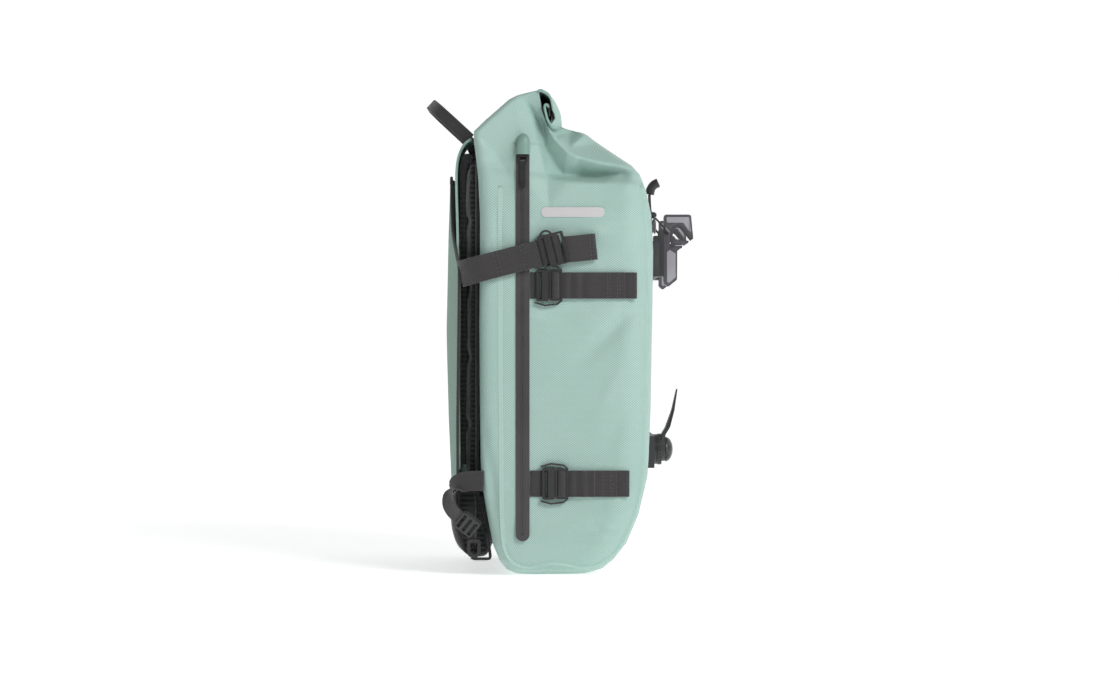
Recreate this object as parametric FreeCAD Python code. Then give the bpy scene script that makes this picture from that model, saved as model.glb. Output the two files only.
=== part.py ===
import FreeCAD, Part
import math
import os

V = FreeCAD.Vector
os.makedirs("parts", exist_ok=True)

# Roll-top pannier that doubles as a backpack. Millimetres, +Z up, origin on the ground under the bag.
# +X is the rack side with the hooks, -X the carrying side with the harness, -Y the zip side.

# driving sizes
bag_half = 150.0
wall = 2.0
web_width = 25.0
web_thick = 1.6
skin_gap = 0.2
tube_r = 5.0
cord_d = 2.0

# the shell at rising heights: z, left x, right x, half width left and right, corner radius left and right
shell_levels = [
    (0, -43, 28, 116, 112, 18, 22),
    (5, -51, 42, 132, 128, 20, 28),
    (14, -57.5, 52, 141, 138, 18, 30),
    (30, -63.5, 64, 147, 146, 14, 30),
    (58, -69, 76, bag_half, bag_half, 12, 30),
    (95, -75, 84.5, bag_half, bag_half, 12, 28),
    (160, -76, 87.5, bag_half, bag_half, 12, 28),
    (240, -76.5, 89, bag_half, bag_half, 12, 28),
    (310, -76, 90, bag_half, bag_half, 12, 28),
    (345, -76, 88, bag_half, bag_half, 12, 26),
    (372, -77, 82, bag_half, bag_half, 12, 24),
    (390, -79.5, 71.5, bag_half, 146, 10, 22),
    (408, -81.5, 48.5, bag_half, 128, 8, 20),
    (425, -82, 22, bag_half, 92, 8, 18),
]


def save(node, shape):
    """Write one sub-part."""
    shape.exportStep("parts/" + node + ".step")
    print(node, len(shape.Solids), round(shape.Volume), shape.isValid())


def rounded(points, radii):
    """Closed wire through the points with its corners rounded."""
    count = len(points)
    if not isinstance(radii, (list, tuple)):
        radii = [radii] * count
    starts, ends, mids = [], [], []
    for i, here in enumerate(points):
        back = (points[i - 1] - here).normalize()
        ahead = (points[(i + 1) % count] - here).normalize()
        half = back.getAngle(ahead) / 2
        if radii[i] <= 0:
            starts.append(here)
            ends.append(here)
            mids.append(None)
            continue
        run = radii[i] / math.tan(half)
        centre = here + (back + ahead).normalize() * (radii[i] / math.sin(half))
        starts.append(here + back * run)
        ends.append(here + ahead * run)
        mids.append(centre + (here - centre).normalize() * radii[i])
    edges = []
    for i in range(count):
        if mids[i] is not None:
            edges.append(Part.Arc(starts[i], mids[i], ends[i]).toShape())
        after = starts[(i + 1) % count]
        if (after - ends[i]).Length > 1e-6:
            edges.append(Part.makeLine(ends[i], after))
    return Part.Wire(edges)


def slab_y(points, low, high, radii=0):
    """Outline of x, z points made solid from y low to y high."""
    face = Part.Face(rounded([V(x, low, z) for x, z in points], radii))
    return face.extrude(V(0, high - low, 0))


def slab_x(points, low, high, radii=0):
    """Outline of y, z points made solid from x low to x high."""
    face = Part.Face(rounded([V(low, y, z) for y, z in points], radii))
    return face.extrude(V(high - low, 0, 0))


def block(x0, x1, y0, y1, z0, z1):
    return Part.makeBox(x1 - x0, y1 - y0, z1 - z0, V(x0, y0, z0))


def rod(start, end, radius):
    return Part.makeCylinder(radius, (end - start).Length, start, end - start)


def rectangle(x0, x1, z0, z1):
    return [(x0, z0), (x1, z0), (x1, z1), (x0, z1)]


def band(points, thick, across):
    """Webbing: a path of vectors in one plane, thickened and drawn out along the vector across."""
    if len(points) == 2:
        step = (points[1] - points[0]).cross(across).normalize() * (thick / 2)
        ring = [points[0] - step, points[1] - step, points[1] + step, points[0] + step]
        face = Part.Face(rounded(ring, 0))
    else:
        face = Part.makePolygon(points).makeOffset2D(thick / 2, 0, True, False, False)
    return face.extrude(across)


def largest(shape):
    return max(shape.Solids, key=lambda solid: solid.Volume)


def mirrored(shape):
    return shape.mirror(V(0, 0, 0), V(0, 1, 0))


def turned_y(shape, centre, degrees):
    """Turn about Y so that +X rises towards +Z."""
    copy = shape.copy()
    copy.rotate(centre, V(0, 1, 0), -degrees)
    return copy


def level_wire(level, inset, lift):
    z, left, right, half_left, half_right, r_left, r_right = level
    corners = [
        V(left + inset, -half_left + inset, z + lift),
        V(right - inset, -half_right + inset, z + lift),
        V(right - inset, half_right - inset, z + lift),
        V(left + inset, half_left - inset, z + lift),
    ]
    return rounded(corners, [r_left - inset, r_right - inset, r_right - inset, r_left - inset])


def shell_solid(inset):
    """Loft through the levels, drawn in by the inset on every side."""
    wires = []
    for level in shell_levels:
        lift = inset if level[0] < 58 else 0
        if level[0] > 380:
            lift = -inset
        wires.append(level_wire(level, inset, lift))
    return Part.makeLoft(wires, True, False)


# ---- shell, roll and stiffener ----
roll_half_x = 11.5
roll_half_z = 19.0
roll_x = -9.5
shell_top = shell_levels[-1][0]
roll_z = shell_top + roll_half_z + 0.1
crest_right = roll_x - roll_half_x - 0.1
crest_outline = [
    (-82, shell_top - 6),
    (crest_right, shell_top - 6),
    (crest_right, 462.5),
    (-30, 462),
    (-42, 458),
    (-82, shell_top),
]
crest = slab_y(crest_outline, -bag_half, bag_half, [0, 0, 3, 20, 4, 3])
crest_plan = [V(-90, -bag_half, 400), V(-80, -bag_half, 400), V(-18, -124, 400), V(-18, 124, 400)]
crest_plan += [V(-80, bag_half, 400), V(-90, bag_half, 400)]
crest = crest.common(Part.Face(rounded(crest_plan, 0)).extrude(V(0, 0, 100)))
outer = shell_solid(0).fuse(crest).removeSplitter()
inner = shell_solid(wall)
shell = outer.cut(inner)

# two rail positions on the rack wall
upper_z = 303.5
lower_z = 116.5
screw_r = 2.5
screw_places = [(-95, upper_z), (-32, upper_z), (32, upper_z), (95, upper_z), (-62, lower_z), (62, lower_z)]
screw_holes = [rod(V(60, y, z), V(110, y, z), screw_r + 0.1) for y, z in screw_places]
shell = shell.cut(Part.makeCompound(screw_holes))
save("body_shell", shell)

board_slab = slab_x([(-115, 85), (115, 85), (115, 342), (-115, 342)], 60, 100, 25)
board_thick = 2.5
inner_back = inner.copy()
inner_back.translate(V(-board_thick, 0, 0))
board = board_slab.common(inner).cut(inner_back).cut(Part.makeCompound(screw_holes))
save("stiffener_board", board)


def spiral_point(turn, offset):
    """Point on the rolled fabric's flattened spiral."""
    shrink = 1 - 0.3 * turn
    angle = math.radians(-100) + turn * 2 * math.pi
    reach_x = (roll_half_x - 1.2) * shrink + offset
    reach_z = (roll_half_z - 1.2) * shrink + offset
    return V(roll_x + reach_x * math.cos(angle), 0, roll_z + reach_z * math.sin(angle))


def spiral_edge(offset):
    curve = Part.BSplineCurve()
    curve.interpolate([spiral_point(k / 12.0, offset) for k in range(0, 21)])
    return curve


roll_layer = 2.0
outside = spiral_edge(roll_layer / 2).toShape()
inside = spiral_edge(-roll_layer / 2).toShape()
first = Part.makeLine(outside.Vertexes[0].Point, inside.Vertexes[0].Point)
last = Part.makeLine(outside.Vertexes[-1].Point, inside.Vertexes[-1].Point)
roll_face = Part.Face(Part.Wire(Part.__sortEdges__([outside, last, inside, first])))
roll = roll_face.extrude(V(0, 2 * bag_half + 2, 0))
roll.translate(V(0, -bag_half - 1, 0))
roll = roll.cut(outer)
save("roll_top", roll)
stay = block(roll_x - 0.8, roll_x + 0.8, -146, 146, roll_z - 6, roll_z + 6)
save("roll_stiffener", stay)

# ---- side zip ----
zip_x = -35.0
zip_half = 6.5
zip_low = 34.0
zip_high = 412.0
tape_low = -bag_half - 1.1
tape_high = -bag_half - 0.1
slot_half = 0.3
tape_outline = rectangle(zip_x - zip_half, zip_x + zip_half, zip_low, zip_high)
tape = slab_y(tape_outline, tape_low, tape_high, [6.4, 6.4, 1, 1])
slot = block(zip_x - slot_half, zip_x + slot_half, tape_low - 1, tape_high + 1, zip_low + 7, zip_high + 5)
save("zip_tape", tape.cut(slot).cut(outer))
coil_half = slot_half - 0.05
coil = block(zip_x - coil_half, zip_x + coil_half, tape_low + 0.3, tape_high, zip_low + 7.1, zip_high)
save("zip_coil", coil.cut(outer))

pin_z = 396.0
pin_y = -bag_half - 3.4
slider_outline = rectangle(zip_x - 4.5, zip_x + 4.5, 400, 411.5)
slider = slab_y(slider_outline, -bag_half - 2.9, -bag_half - 1.4, [1.5, 1.5, 4, 4])
bridge = block(zip_x - 2.2, zip_x + 2.2, -bag_half - 4.6, -bag_half - 2.9, 401, 409)
ears = block(zip_x - 4.2, zip_x + 4.2, -bag_half - 4.2, -bag_half - 1.4, pin_z - 1.5, 400.5)
pull_room = block(zip_x - 2.9, zip_x + 2.9, -bag_half - 6, -bag_half, pin_z - 3, 399.2)
axle = rod(V(zip_x - 4, pin_y, pin_z), V(zip_x + 4, pin_y, pin_z), 0.7)
slider = slider.fuse(bridge).fuse(ears.cut(pull_room)).fuse(axle).removeSplitter()
save("zip_slider", slider)

eye = rod(V(zip_x - 2.5, pin_y, pin_z), V(zip_x + 2.5, pin_y, pin_z), 1.7)
grip_outline = rectangle(zip_x - 2.5, zip_x + 2.5, pin_z - 27, pin_z - 1)
grip = slab_y(grip_outline, pin_y - 0.9, pin_y + 0.9, [2.2, 2.2, 0, 0])
pull = eye.fuse(grip).cut(rod(V(zip_x - 5, pin_y, pin_z), V(zip_x + 5, pin_y, pin_z), 0.78))
save("zip_pull", pull.removeSplitter())

garage_outline = rectangle(zip_x - 6.6, zip_x + 6.6, 401.5, 419)
garage = slab_y(garage_outline, -bag_half - 6.6, tape_low - 0.05, [0, 0, 6, 6])
garage_room = rectangle(zip_x - 5.4, zip_x + 5.4, 396, 417)
garage = garage.cut(slab_y(garage_room, -bag_half - 5.4, -bag_half + 1, [0, 0, 5, 5]))
save("zip_garage", garage)

# ---- reflective stripes ----
stripe = slab_y(rectangle(-17.5, 42.5, 342, 351.5), -bag_half - 0.5, -bag_half - 0.1, 4.7)
stripe = stripe.cut(outer)
save("reflective_stripes", Part.makeCompound([stripe, mirrored(stripe)]))

# ---- harness: back pad, lumbar pad, shoulder straps ----
back_outline = [(-128, 84), (128, 84), (128, 396), (60, 416), (-60, 416), (-128, 396)]
back_pad = slab_x(back_outline, -88, -70, [6, 6, 20, 30, 30, 20]).cut(outer)
save("back_pad", back_pad)
lumbar_outline = [(-92, 82.5), (-104, 82.5), (-103.5, 45), (-97, 22), (-84, 13.5), (-50, 13.5), (-50, 82.5)]
lumbar = slab_y(lumbar_outline, -126, 126, [0, 4, 12, 10, 12, 0, 0]).cut(outer)
save("lumbar_pad", lumbar)

strap_half = 32.0
strap_y = 82.0
pad_path = [V(-92.6, 0, 100), V(-93.4, 0, 378), V(-91.4, 0, 398), V(-86.5, 0, 408)]
pad = band(pad_path, 6.4, V(0, 2 * strap_half, 0))
pad.translate(V(0, -strap_y - strap_half, 0))
pad = pad.cut(outer).cut(back_pad)
skin_path = [V(-96.7, 0, 100), V(-97.6, 0, 250), V(-98.0, 0, 320), V(-99.4, 0, 386)]
skin_path += [V(-97.0, 0, 404), V(-90, 0, 416.5), V(-84.5, 0, 419)]
skin = band(skin_path, 1.4, V(0, 2 * strap_half, 0))
skin.translate(V(0, -strap_y - strap_half, 0))
skin = skin.cut(outer).cut(back_pad).cut(pad)
save("strap_pads", Part.makeCompound([pad, mirrored(pad)]))
save("strap_skins", Part.makeCompound([skin, mirrored(skin)]))

# ---- carry handle: a folded webbing arch over the harness ----
handle_base = V(-88.0, 0, 423.0)
handle_lean = V(-0.735, 0, 0.678)
handle_half = 44.0
handle_reach = 56.0
handle_width = 12.0
handle_thick = 2.6
handle_pivot = handle_base + handle_lean * 4.0
root_r = handle_width / 2
foot = handle_pivot - handle_lean * root_r
bend = handle_base + handle_lean * 30.0
peak = handle_base + handle_lean * (handle_reach - handle_thick)
side = V(0, handle_half, 0)
arch = [foot - side, bend - side, peak - V(0, 22, 0), peak + V(0, 22, 0), bend + side, foot + side]
normal = V(-handle_lean.z, 0, -handle_lean.x) * -1
handle = band(arch, handle_thick, normal * handle_width)
handle.translate(normal * (-root_r))
pivot_rod = rod(handle_pivot - V(0, 60, 0), handle_pivot + V(0, 60, 0), root_r)
behind = Part.makeBox(40, 140, 40, V(-20, -70, -40))
behind = turned_y(behind, V(0, 0, 0), math.degrees(math.atan2(-handle_lean.x, handle_lean.z)))
behind.translate(handle_pivot)
handle = handle.cut(behind.cut(pivot_rod))
tab_path = [handle_pivot - side, handle_pivot - handle_lean * 26 - side]
tabs = []
for shift_y in (0, 2 * handle_half):
    tab = band([point + V(0, shift_y, 0) for point in tab_path], handle_thick, normal * handle_width)
    tab.translate(normal * (-root_r))
    tab = tab.cut(rod(handle_pivot - V(0, 60, 0), handle_pivot + V(0, 60, 0), root_r + 0.3))
    tab = tab.cut(outer).cut(Part.makeCompound([skin, mirrored(skin), back_pad]))
    tabs.append(largest(tab))
save("carry_handle", handle)
save("handle_tabs", Part.makeCompound(tabs))

# ---- cover flap over the harness ----
flap_low = 84.5
flap_thick = 1.6


def flap_section(z, middle, edge):
    """Bowed strip of the flap at one height, thick towards the bag."""
    outer_arc = Part.Arc(V(edge, -140, z), V(middle, 0, z), V(edge, 140, z)).toShape()
    inner_ends = [V(edge + flap_thick, y, z) for y in (-140, 140)]
    inner_arc = Part.Arc(inner_ends[0], V(middle + flap_thick, 0, z), inner_ends[1])
    low_end = Part.makeLine(V(edge, -140, z), V(edge + flap_thick, -140, z))
    high_end = Part.makeLine(V(edge, 140, z), V(edge + flap_thick, 140, z))
    return Part.Wire(Part.__sortEdges__([outer_arc, high_end, inner_arc.toShape(), low_end]))


flap_levels = [
    (flap_low, -107.5, -97.5),
    (150, -110.5, -97.5),
    (235, -112.5, -96.5),
    (330, -110.5, -95.5),
    (386, -108.5, -95),
]
flap_sheet = Part.makeLoft([flap_section(*level) for level in flap_levels], True, False)
flap_outline = [(-138, flap_low), (138, flap_low), (138, 296), (92, 330), (50, 384)]
flap_outline += [(-50, 384), (-92, 330), (-138, 296)]
flap_radii = [6, 6, 14, 40, 12, 12, 40, 14]
flap = flap_sheet.common(slab_x(flap_outline, -130, -80, flap_radii))
rim = 2.2
flap_inside = [
    (-138 + rim, flap_low - 5), (138 - rim, flap_low - 5), (138 - rim, 295), (90.6, 328), (49, 384 - rim),
    (-49, 384 - rim), (-90.6, 328), (-138 + rim, 295),
]
core = slab_x(flap_inside, -130, -80, [0, 0, 13, 40, 11, 11, 40, 13])
save("cover_flap", flap.common(core))
save("flap_binding", flap.cut(core))

# ---- flap straps: sewn to the flap's edge, across the zip to a hook buckle ----
flap_tilt = 14.5
buckle_x = -5.7
buckle_z = 311.0
buckle_at = V(buckle_x, 0, buckle_z)
lift_y = -bag_half - 7.0
flap_web_path = [V(-97.5, -136.5, 0), V(-92, -147.5, 0), V(-80, lift_y, 0), V(buckle_x - 7.5, lift_y, 0)]
flap_tail_path = [V(buckle_x + 8.2, lift_y, 0), V(35, lift_y, 0)]
flap_webs = []
for path in (flap_web_path, flap_tail_path):
    web = band(path, web_thick, V(0, 0, web_width))
    web.translate(V(0, 0, buckle_z - web_width / 2))
    flap_webs.append(web)
front = turned_y(flap_webs[0], buckle_at, flap_tilt)
tail = turned_y(flap_webs[1], V(buckle_x + 8, 0, buckle_z), 3)
tail.translate(V(0, 0, -0.5))


def frame_plate(u0, u1, half, low, high, slots, radius=1.5):
    """Flat moulded plate in x, z with upright slots, from y low to y high."""
    plate = slab_y(rectangle(u0, u1, -half, half), low, high, radius)
    for s0, s1 in slots:
        plate = plate.cut(block(s0, s1, low - 1, high + 1, -half + 2, half - 2))
    return plate


flap_buckle = frame_plate(-12.5, 12.5, 15.5, lift_y - 2.4, lift_y + 2.2, [(-9.6, -6.6), (6.6, 9.6)])
flap_buckle = flap_buckle.cut(block(-1.0, 1.4, lift_y - 3, lift_y - 0.8, -13, 13))
bow = Part.makeCylinder(6.5, 3.4, V(-4, lift_y - 1.6, 13.5), V(0, 1, 0))
bow = bow.cut(Part.makeCylinder(4.6, 5, V(-4, lift_y - 3, 13.5), V(0, 1, 0)))
flap_buckle = flap_buckle.fuse(bow.cut(block(-14, 10, lift_y - 4, lift_y + 4, 0, 14.5))).removeSplitter()
flap_buckle.translate(buckle_at)
flap_buckle = turned_y(flap_buckle, buckle_at, flap_tilt)
front = largest(front.cut(flap_buckle).cut(flap))
tail = largest(tail.cut(flap_buckle))
flap_strap = Part.makeCompound([front, tail])
save("flap_strap_near", flap_strap)
save("flap_strap_far", mirrored(flap_strap))
save("flap_buckle_near", flap_buckle)
save("flap_buckle_far", mirrored(flap_buckle))
loop_patch = slab_y(rectangle(-27, 6, 299, 315), -bag_half - 1.2, -bag_half - 0.1, 3)
loop_bar = slab_y(rectangle(-21, -16, 298, 316), -bag_half - 3.2, -bag_half - 1.2, 1)
flap_loop = loop_patch.fuse(loop_bar).removeSplitter().cut(outer)
flap_loop = flap_loop.cut(block(-60, zip_x + zip_half + 0.2, -170, -140, 200, 420))
save("flap_loops", Part.makeCompound([flap_loop, mirrored(flap_loop)]))

# ---- side straps: sewn web, socket, clip and adjusting tail, upper and lower on both sides ----
sewn_y = -bag_half - skin_gap - web_thick / 2
over_y = sewn_y - web_thick - 0.15
bar_y = -bag_half - 5.4
strap_left = -27.8


def side_strap(split, height, right_end, tail_end):
    """Pieces of one strap on the near side: two sewn webs, socket, clip, tail."""
    half = web_width / 2
    across = V(0, 0, web_width)
    place = V(0, 0, height - half)
    left_web = band([V(strap_left + 0.8, sewn_y, 0), V(split - 8.3, sewn_y, 0)], web_thick, across)
    right_web = band([V(split + 30, sewn_y, 0), V(right_end - 0.8, sewn_y, 0)], web_thick, across)
    tail_path = [
        V(tail_end, over_y, 0),
        V(split + 15, over_y, 0),
        V(split + 9.0, over_y, 0),
        V(split + 9.0, bar_y - 0.1, 0),
        V(split + 3.8, bar_y - 0.1, 0),
        V(split + 3.8, over_y, 0),
    ]
    tail_web = band(tail_path, web_thick, across)
    for web in (left_web, right_web, tail_web):
        web.translate(place)
    socket = frame_plate(-12, -0.2, 15, -bag_half - 4.8, -bag_half - 0.3, [(-9.9, -6.7)])
    socket = socket.cut(block(-13, -6.7, sewn_y - web_thick / 2 - 0.05, -bag_half, -half - 0.3, half + 0.3))
    clip = frame_plate(0.2, 12.5, 14.5, -bag_half - 4.4, -bag_half - 2.1, [(2.4, 5.4), (7.5, 10.5)])
    for sign in (-1, 1):
        arm = [(12.0, sign * 14.2), (8.0, sign * 17.6), (-4.0, sign * 19.0), (-13.0, sign * 16.4)]
        arm_shape = band([V(x, 0, z) for x, z in arm], 1.6, V(0, 2.3, 0))
        arm_shape.translate(V(0, -bag_half - 4.4, 0))
        clip = clip.fuse(arm_shape)
    clip = clip.removeSplitter()
    for piece in (socket, clip):
        piece.translate(V(split, 0, height))
    left_web = left_web.cut(outer).cut(socket)
    right_web = right_web.cut(outer)
    return left_web, right_web, socket.cut(outer), clip.cut(socket), tail_web.cut(clip)


straps = {
    "upper": side_strap(-10.0, 277.0, 73.6, 62.0),
    "lower": side_strap(-4.3, 88.8, 66.4, 54.0),
}
near_webs, near_sockets = [], []
for name, (left_web, right_web, socket, clip, tail_web) in straps.items():
    near_webs += [left_web, right_web]
    near_sockets.append(socket)
    save(name + "_clip_near", clip)
    save(name + "_clip_far", mirrored(clip))
    save(name + "_tail_near", tail_web)
    save(name + "_tail_far", mirrored(tail_web))
webs = Part.makeCompound(near_webs)
sockets = Part.makeCompound(near_sockets)
save("side_webs_near", webs)
save("side_webs_far", mirrored(webs))
save("side_sockets_near", sockets)
save("side_sockets_far", mirrored(sockets))

# ---- lower harness webbing, ladder lock and ring, both sides ----
ribbon_half = 9.5
lock_lean = math.radians(38)
lock_along = V(math.cos(lock_lean), 0, -math.sin(lock_lean))
lock_wide = V(math.sin(lock_lean), 0, math.cos(lock_lean)) * 0.707 + V(0, -0.707, 0)
ribbon_stations = [
    (V(-70, -146, 91), V(0, 0, 1)),
    (V(-88, -145, 91), V(0.1, 0, 1)),
    (V(-99, -143.5, 86), V(0.4, -0.2, 0.9)),
    (V(-105.5, -141, 74), V(0.55, -0.6, 0.5)),
    (V(-102.0, -139.5, 62), lock_wide),
    (V(-95.4, -138.6, 55.9), lock_wide),
]
ribbon_wires = []
for k, (centre, wide) in enumerate(ribbon_stations):
    before = ribbon_stations[max(k - 1, 0)][0]
    beyond = ribbon_stations[min(k + 1, len(ribbon_stations) - 1)][0]
    along = (beyond - before).normalize()
    wide = (wide - along * wide.dot(along)).normalize()
    thin = along.cross(wide).normalize() * 0.7
    wide = wide * ribbon_half
    ring = [centre - wide - thin, centre + wide - thin, centre + wide + thin, centre - wide + thin]
    ribbon_wires.append(Part.makePolygon(ring + [ring[0]]))
strap_web = Part.makeLoft(ribbon_wires, True, False)
harness = Part.makeCompound([outer, lumbar, back_pad, flap, pad])
strap_web = strap_web.cut(harness)
save("strap_web_near", strap_web)
save("strap_web_far", mirrored(strap_web))

lock = block(-10, 10, -12.5, 12.5, -2, 2)
for slot_x in (-6.4, 0, 6.4):
    lock = lock.cut(block(slot_x - 1.6, slot_x + 1.6, -10.2, 10.2, -5, 5))
long_ends = [edge for edge in lock.Edges if edge.BoundBox.ZLength > 3.9 and abs(edge.BoundBox.Center.x) > 9.9]
lock = lock.makeFillet(2.5, long_ends)
lock_up = lock_along.cross(lock_wide)
place = FreeCAD.Matrix(
    lock_along.x, lock_wide.x, lock_up.x, -87.4,
    lock_along.y, lock_wide.y, lock_up.y, -138.6,
    lock_along.z, lock_wide.z, lock_up.z, 49.6,
    0, 0, 0, 1,
)
lock = lock.transformGeometry(place).cut(strap_web)
save("ladder_lock_near", lock)
save("ladder_lock_far", mirrored(lock))

ring_outer = slab_y(rectangle(-6.5, 6.5, -9, 9), -1.5, 1.5, [6.4, 6.4, 3, 3])
ring_hole = slab_y(rectangle(-3.4, 3.4, -5.8, 5.8), -3, 3, [3.3, 3.3, 1.5, 1.5])
strap_ring = ring_outer.cut(ring_hole)
strap_ring.translate(V(-82, -127.9, 25.5))
save("strap_ring_near", strap_ring)
save("strap_ring_far", mirrored(strap_ring))

# ---- rails with their screws and nuts ----
channel_half = 11.0
mouth_half = 6.6


def rail(centre_z, floor_x, half_height, half_length):
    """Slotted rail on the rack wall, its channel open towards the rack."""
    low_z, high_z = centre_z - half_height, centre_z + half_height
    body = block(floor_x - 5, floor_x + 3.5, -half_length, half_length, low_z, high_z)
    room_low, room_high = centre_z - channel_half, centre_z + channel_half
    body = body.cut(block(floor_x, floor_x + 2, -half_length + 3, half_length - 3, room_low, room_high))
    gap_low, gap_high = centre_z - mouth_half, centre_z + mouth_half
    body = body.cut(block(floor_x, floor_x + 5, -half_length + 3, half_length - 3, gap_low, gap_high))
    return body.cut(outer)


upper_floor = 92.5
lower_floor = 88.8
head_deep = 2.0
head_r = 4.5
upper_rail = rail(upper_z, upper_floor, 17, 115)
lower_rail = rail(lower_z, lower_floor, 15.5, 85)
screws, nuts = [], []
for y, z in screw_places:
    floor_x = upper_floor if z == upper_z else lower_floor
    inside_x = floor_x - 12
    shank = rod(V(inside_x, y, z), V(floor_x, y, z), screw_r)
    head = Part.makeCone(screw_r, head_r, head_deep, V(floor_x - head_deep, y, z), V(1, 0, 0))
    socket_cut = rod(V(floor_x - 1.2, y, z), V(floor_x + 1, y, z), 1.5)
    screw = shank.fuse(head).removeSplitter().cut(socket_cut)
    clear = rod(V(inside_x, y, z), V(floor_x + 1, y, z), screw_r + 0.1)
    if z == upper_z:
        upper_rail = upper_rail.cut(clear).cut(head)
    else:
        lower_rail = lower_rail.cut(clear).cut(head)
    screws.append(screw)
    nut = rod(V(inside_x + 0.8, y, z), V(floor_x - 6, y, z), 5.0).cut(clear).cut(board)
    nuts.append(max(nut.Solids, key=lambda solid: solid.Volume).cut(outer.cut(inner)))
save("upper_rail", upper_rail)
save("lower_rail", lower_rail)
save("rail_screws", Part.makeCompound(screws))
save("rail_nuts", Part.makeCompound(nuts))

# ---- sliding rack hooks ----
hook_y = 75.0
hook_half = 7.0
slot_half_y = 3.0
carriage_half = 17.0
foot_low, foot_high = upper_floor + 0.3, upper_floor + 1.7
plate_low, plate_high = upper_floor + 3.8, 101.4
seat = V(115.2, 0, 329.9)
pivot = V(105.0, 0, 297.0)
pin_r = 1.5
slope = 1.279
lining = 2.8


def mouth_room(grow):
    """Wedge over the rack tube: upright on the left, slanted on the right, round at the top."""
    radius = tube_r + grow
    left = seat.x - radius
    edge_x = seat.x + radius * math.cos(math.radians(38))
    edge_z = seat.z + radius * math.sin(math.radians(38))
    right = 132.0
    corners = [(left, 315.5), (left, edge_z + (edge_x - left) * slope)]
    corners.append((right, edge_z - (right - edge_x) * slope))
    return slab_y(corners + [(right, 315.5)], -20, 20, [0, radius, 0, 0])


carriage = block(plate_low, plate_high, -carriage_half, carriage_half, 287, 332)
carriage = carriage.makeFillet(1.5, [edge for edge in carriage.Edges if edge.BoundBox.XLength > 5])
foot = block(foot_low, foot_high, -carriage_half, carriage_half, upper_z - 10.7, upper_z + 10.7)
neck = block(foot_high, plate_low, -carriage_half, carriage_half, upper_z - 6.2, upper_z + 6.2)
carriage = carriage.fuse(foot).fuse(neck).removeSplitter()
carriage = carriage.cut(block(89, 103, -slot_half_y - 0.2, slot_half_y + 0.2, upper_z + 6.3, 334))
carriage = carriage.cut(block(plate_low, 103, -slot_half_y - 0.2, slot_half_y + 0.2, 298, 334))

hook_outline = [(101.5, 347.5), (128, 347.5), (130.2, 324), (114.6, 312), (114.4, 284)]
hook_outline += [(105.5, 276.8), (101.5, 280.5)]
hook = slab_y(hook_outline, -hook_half, hook_half, [2.5, 2.5, 1, 1.5, 3, 2, 2])
whole_hook = hook
hook = hook.cut(mouth_room(lining))
latch_slot = block(95, 112, -slot_half_y, slot_half_y, 288, 333.5)
hook = hook.cut(latch_slot)
hook_pin = rod(V(pivot.x, -hook_half + 1, pivot.z), V(pivot.x, hook_half - 1, pivot.z), pin_r)
hook = hook.fuse(hook_pin).removeSplitter()
insert = whole_hook.common(mouth_room(lining)).cut(mouth_room(0)).cut(latch_slot)
insert = insert.common(block(90, 140, -20, 20, 320.5, 350))

latch_outline = [
    (103.0, 297), (108.5, 320), (109.0, 326.8), (111.2, 327.0), (113.5, 324), (119, 322.3),
    (126.2, 322.2), (125.4, 319.8), (119.5, 317.6), (112, 317.8), (107.6, 297),
]
latch_half = 2.6
latch = slab_y(latch_outline, -latch_half, latch_half, [0, 1, 1, 1, 2, 8, 0.8, 0.8, 6, 2, 0])
latch = latch.fuse(rod(V(pivot.x, -latch_half, pivot.z), V(pivot.x, latch_half, pivot.z), 3.6))
latch = latch.cut(rod(V(pivot.x, -9, pivot.z), V(pivot.x, 9, pivot.z), pin_r + 0.05)).removeSplitter()

# release cords: from the pull's toggle to a ferrule on each hook's outer cheek
toggle_z = 347.5
cord_routes = {
    "near": [
        V(91.5, -6, toggle_z), V(91.5, -6, 333.5), V(92.2, -28, 331.5),
        V(93, -60, 345.5), V(93.5, -84, 343.5), V(102.6, -84, 333.8),
    ],
    "far": [
        V(94.8, 6, toggle_z), V(94.8, 6, 333.5), V(96.5, 27, 333),
        V(97.5, 57, 350), V(94, 83, 344.5), V(102.6, 84, 333.8),
    ],
}


def cord_path(route):
    """Straight runs joined by tangent arcs, each as large as its two runs allow."""
    edges, radii = [], []
    here = route[0]
    for k in range(1, len(route) - 1):
        corner = route[k]
        back = route[k - 1] - corner
        ahead = route[k + 1] - corner
        half_turn = (math.pi - back.getAngle(ahead)) / 2
        run = 0.45 * min(back.Length, ahead.Length)
        radius = run / math.tan(half_turn)
        back.normalize()
        ahead.normalize()
        start = corner + back * run
        end = corner + ahead * run
        toward = (back + ahead).normalize()
        middle = corner + toward * (radius / math.cos(half_turn) - radius)
        if (start - here).Length > 1e-6:
            edges.append(Part.LineSegment(here, start).toShape())
        edges.append(Part.Arc(start, middle, end).toShape())
        radii.append(round(radius, 1))
        here = end
    edges.append(Part.LineSegment(here, route[-1]).toShape())
    return Part.Wire(edges), radii


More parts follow.
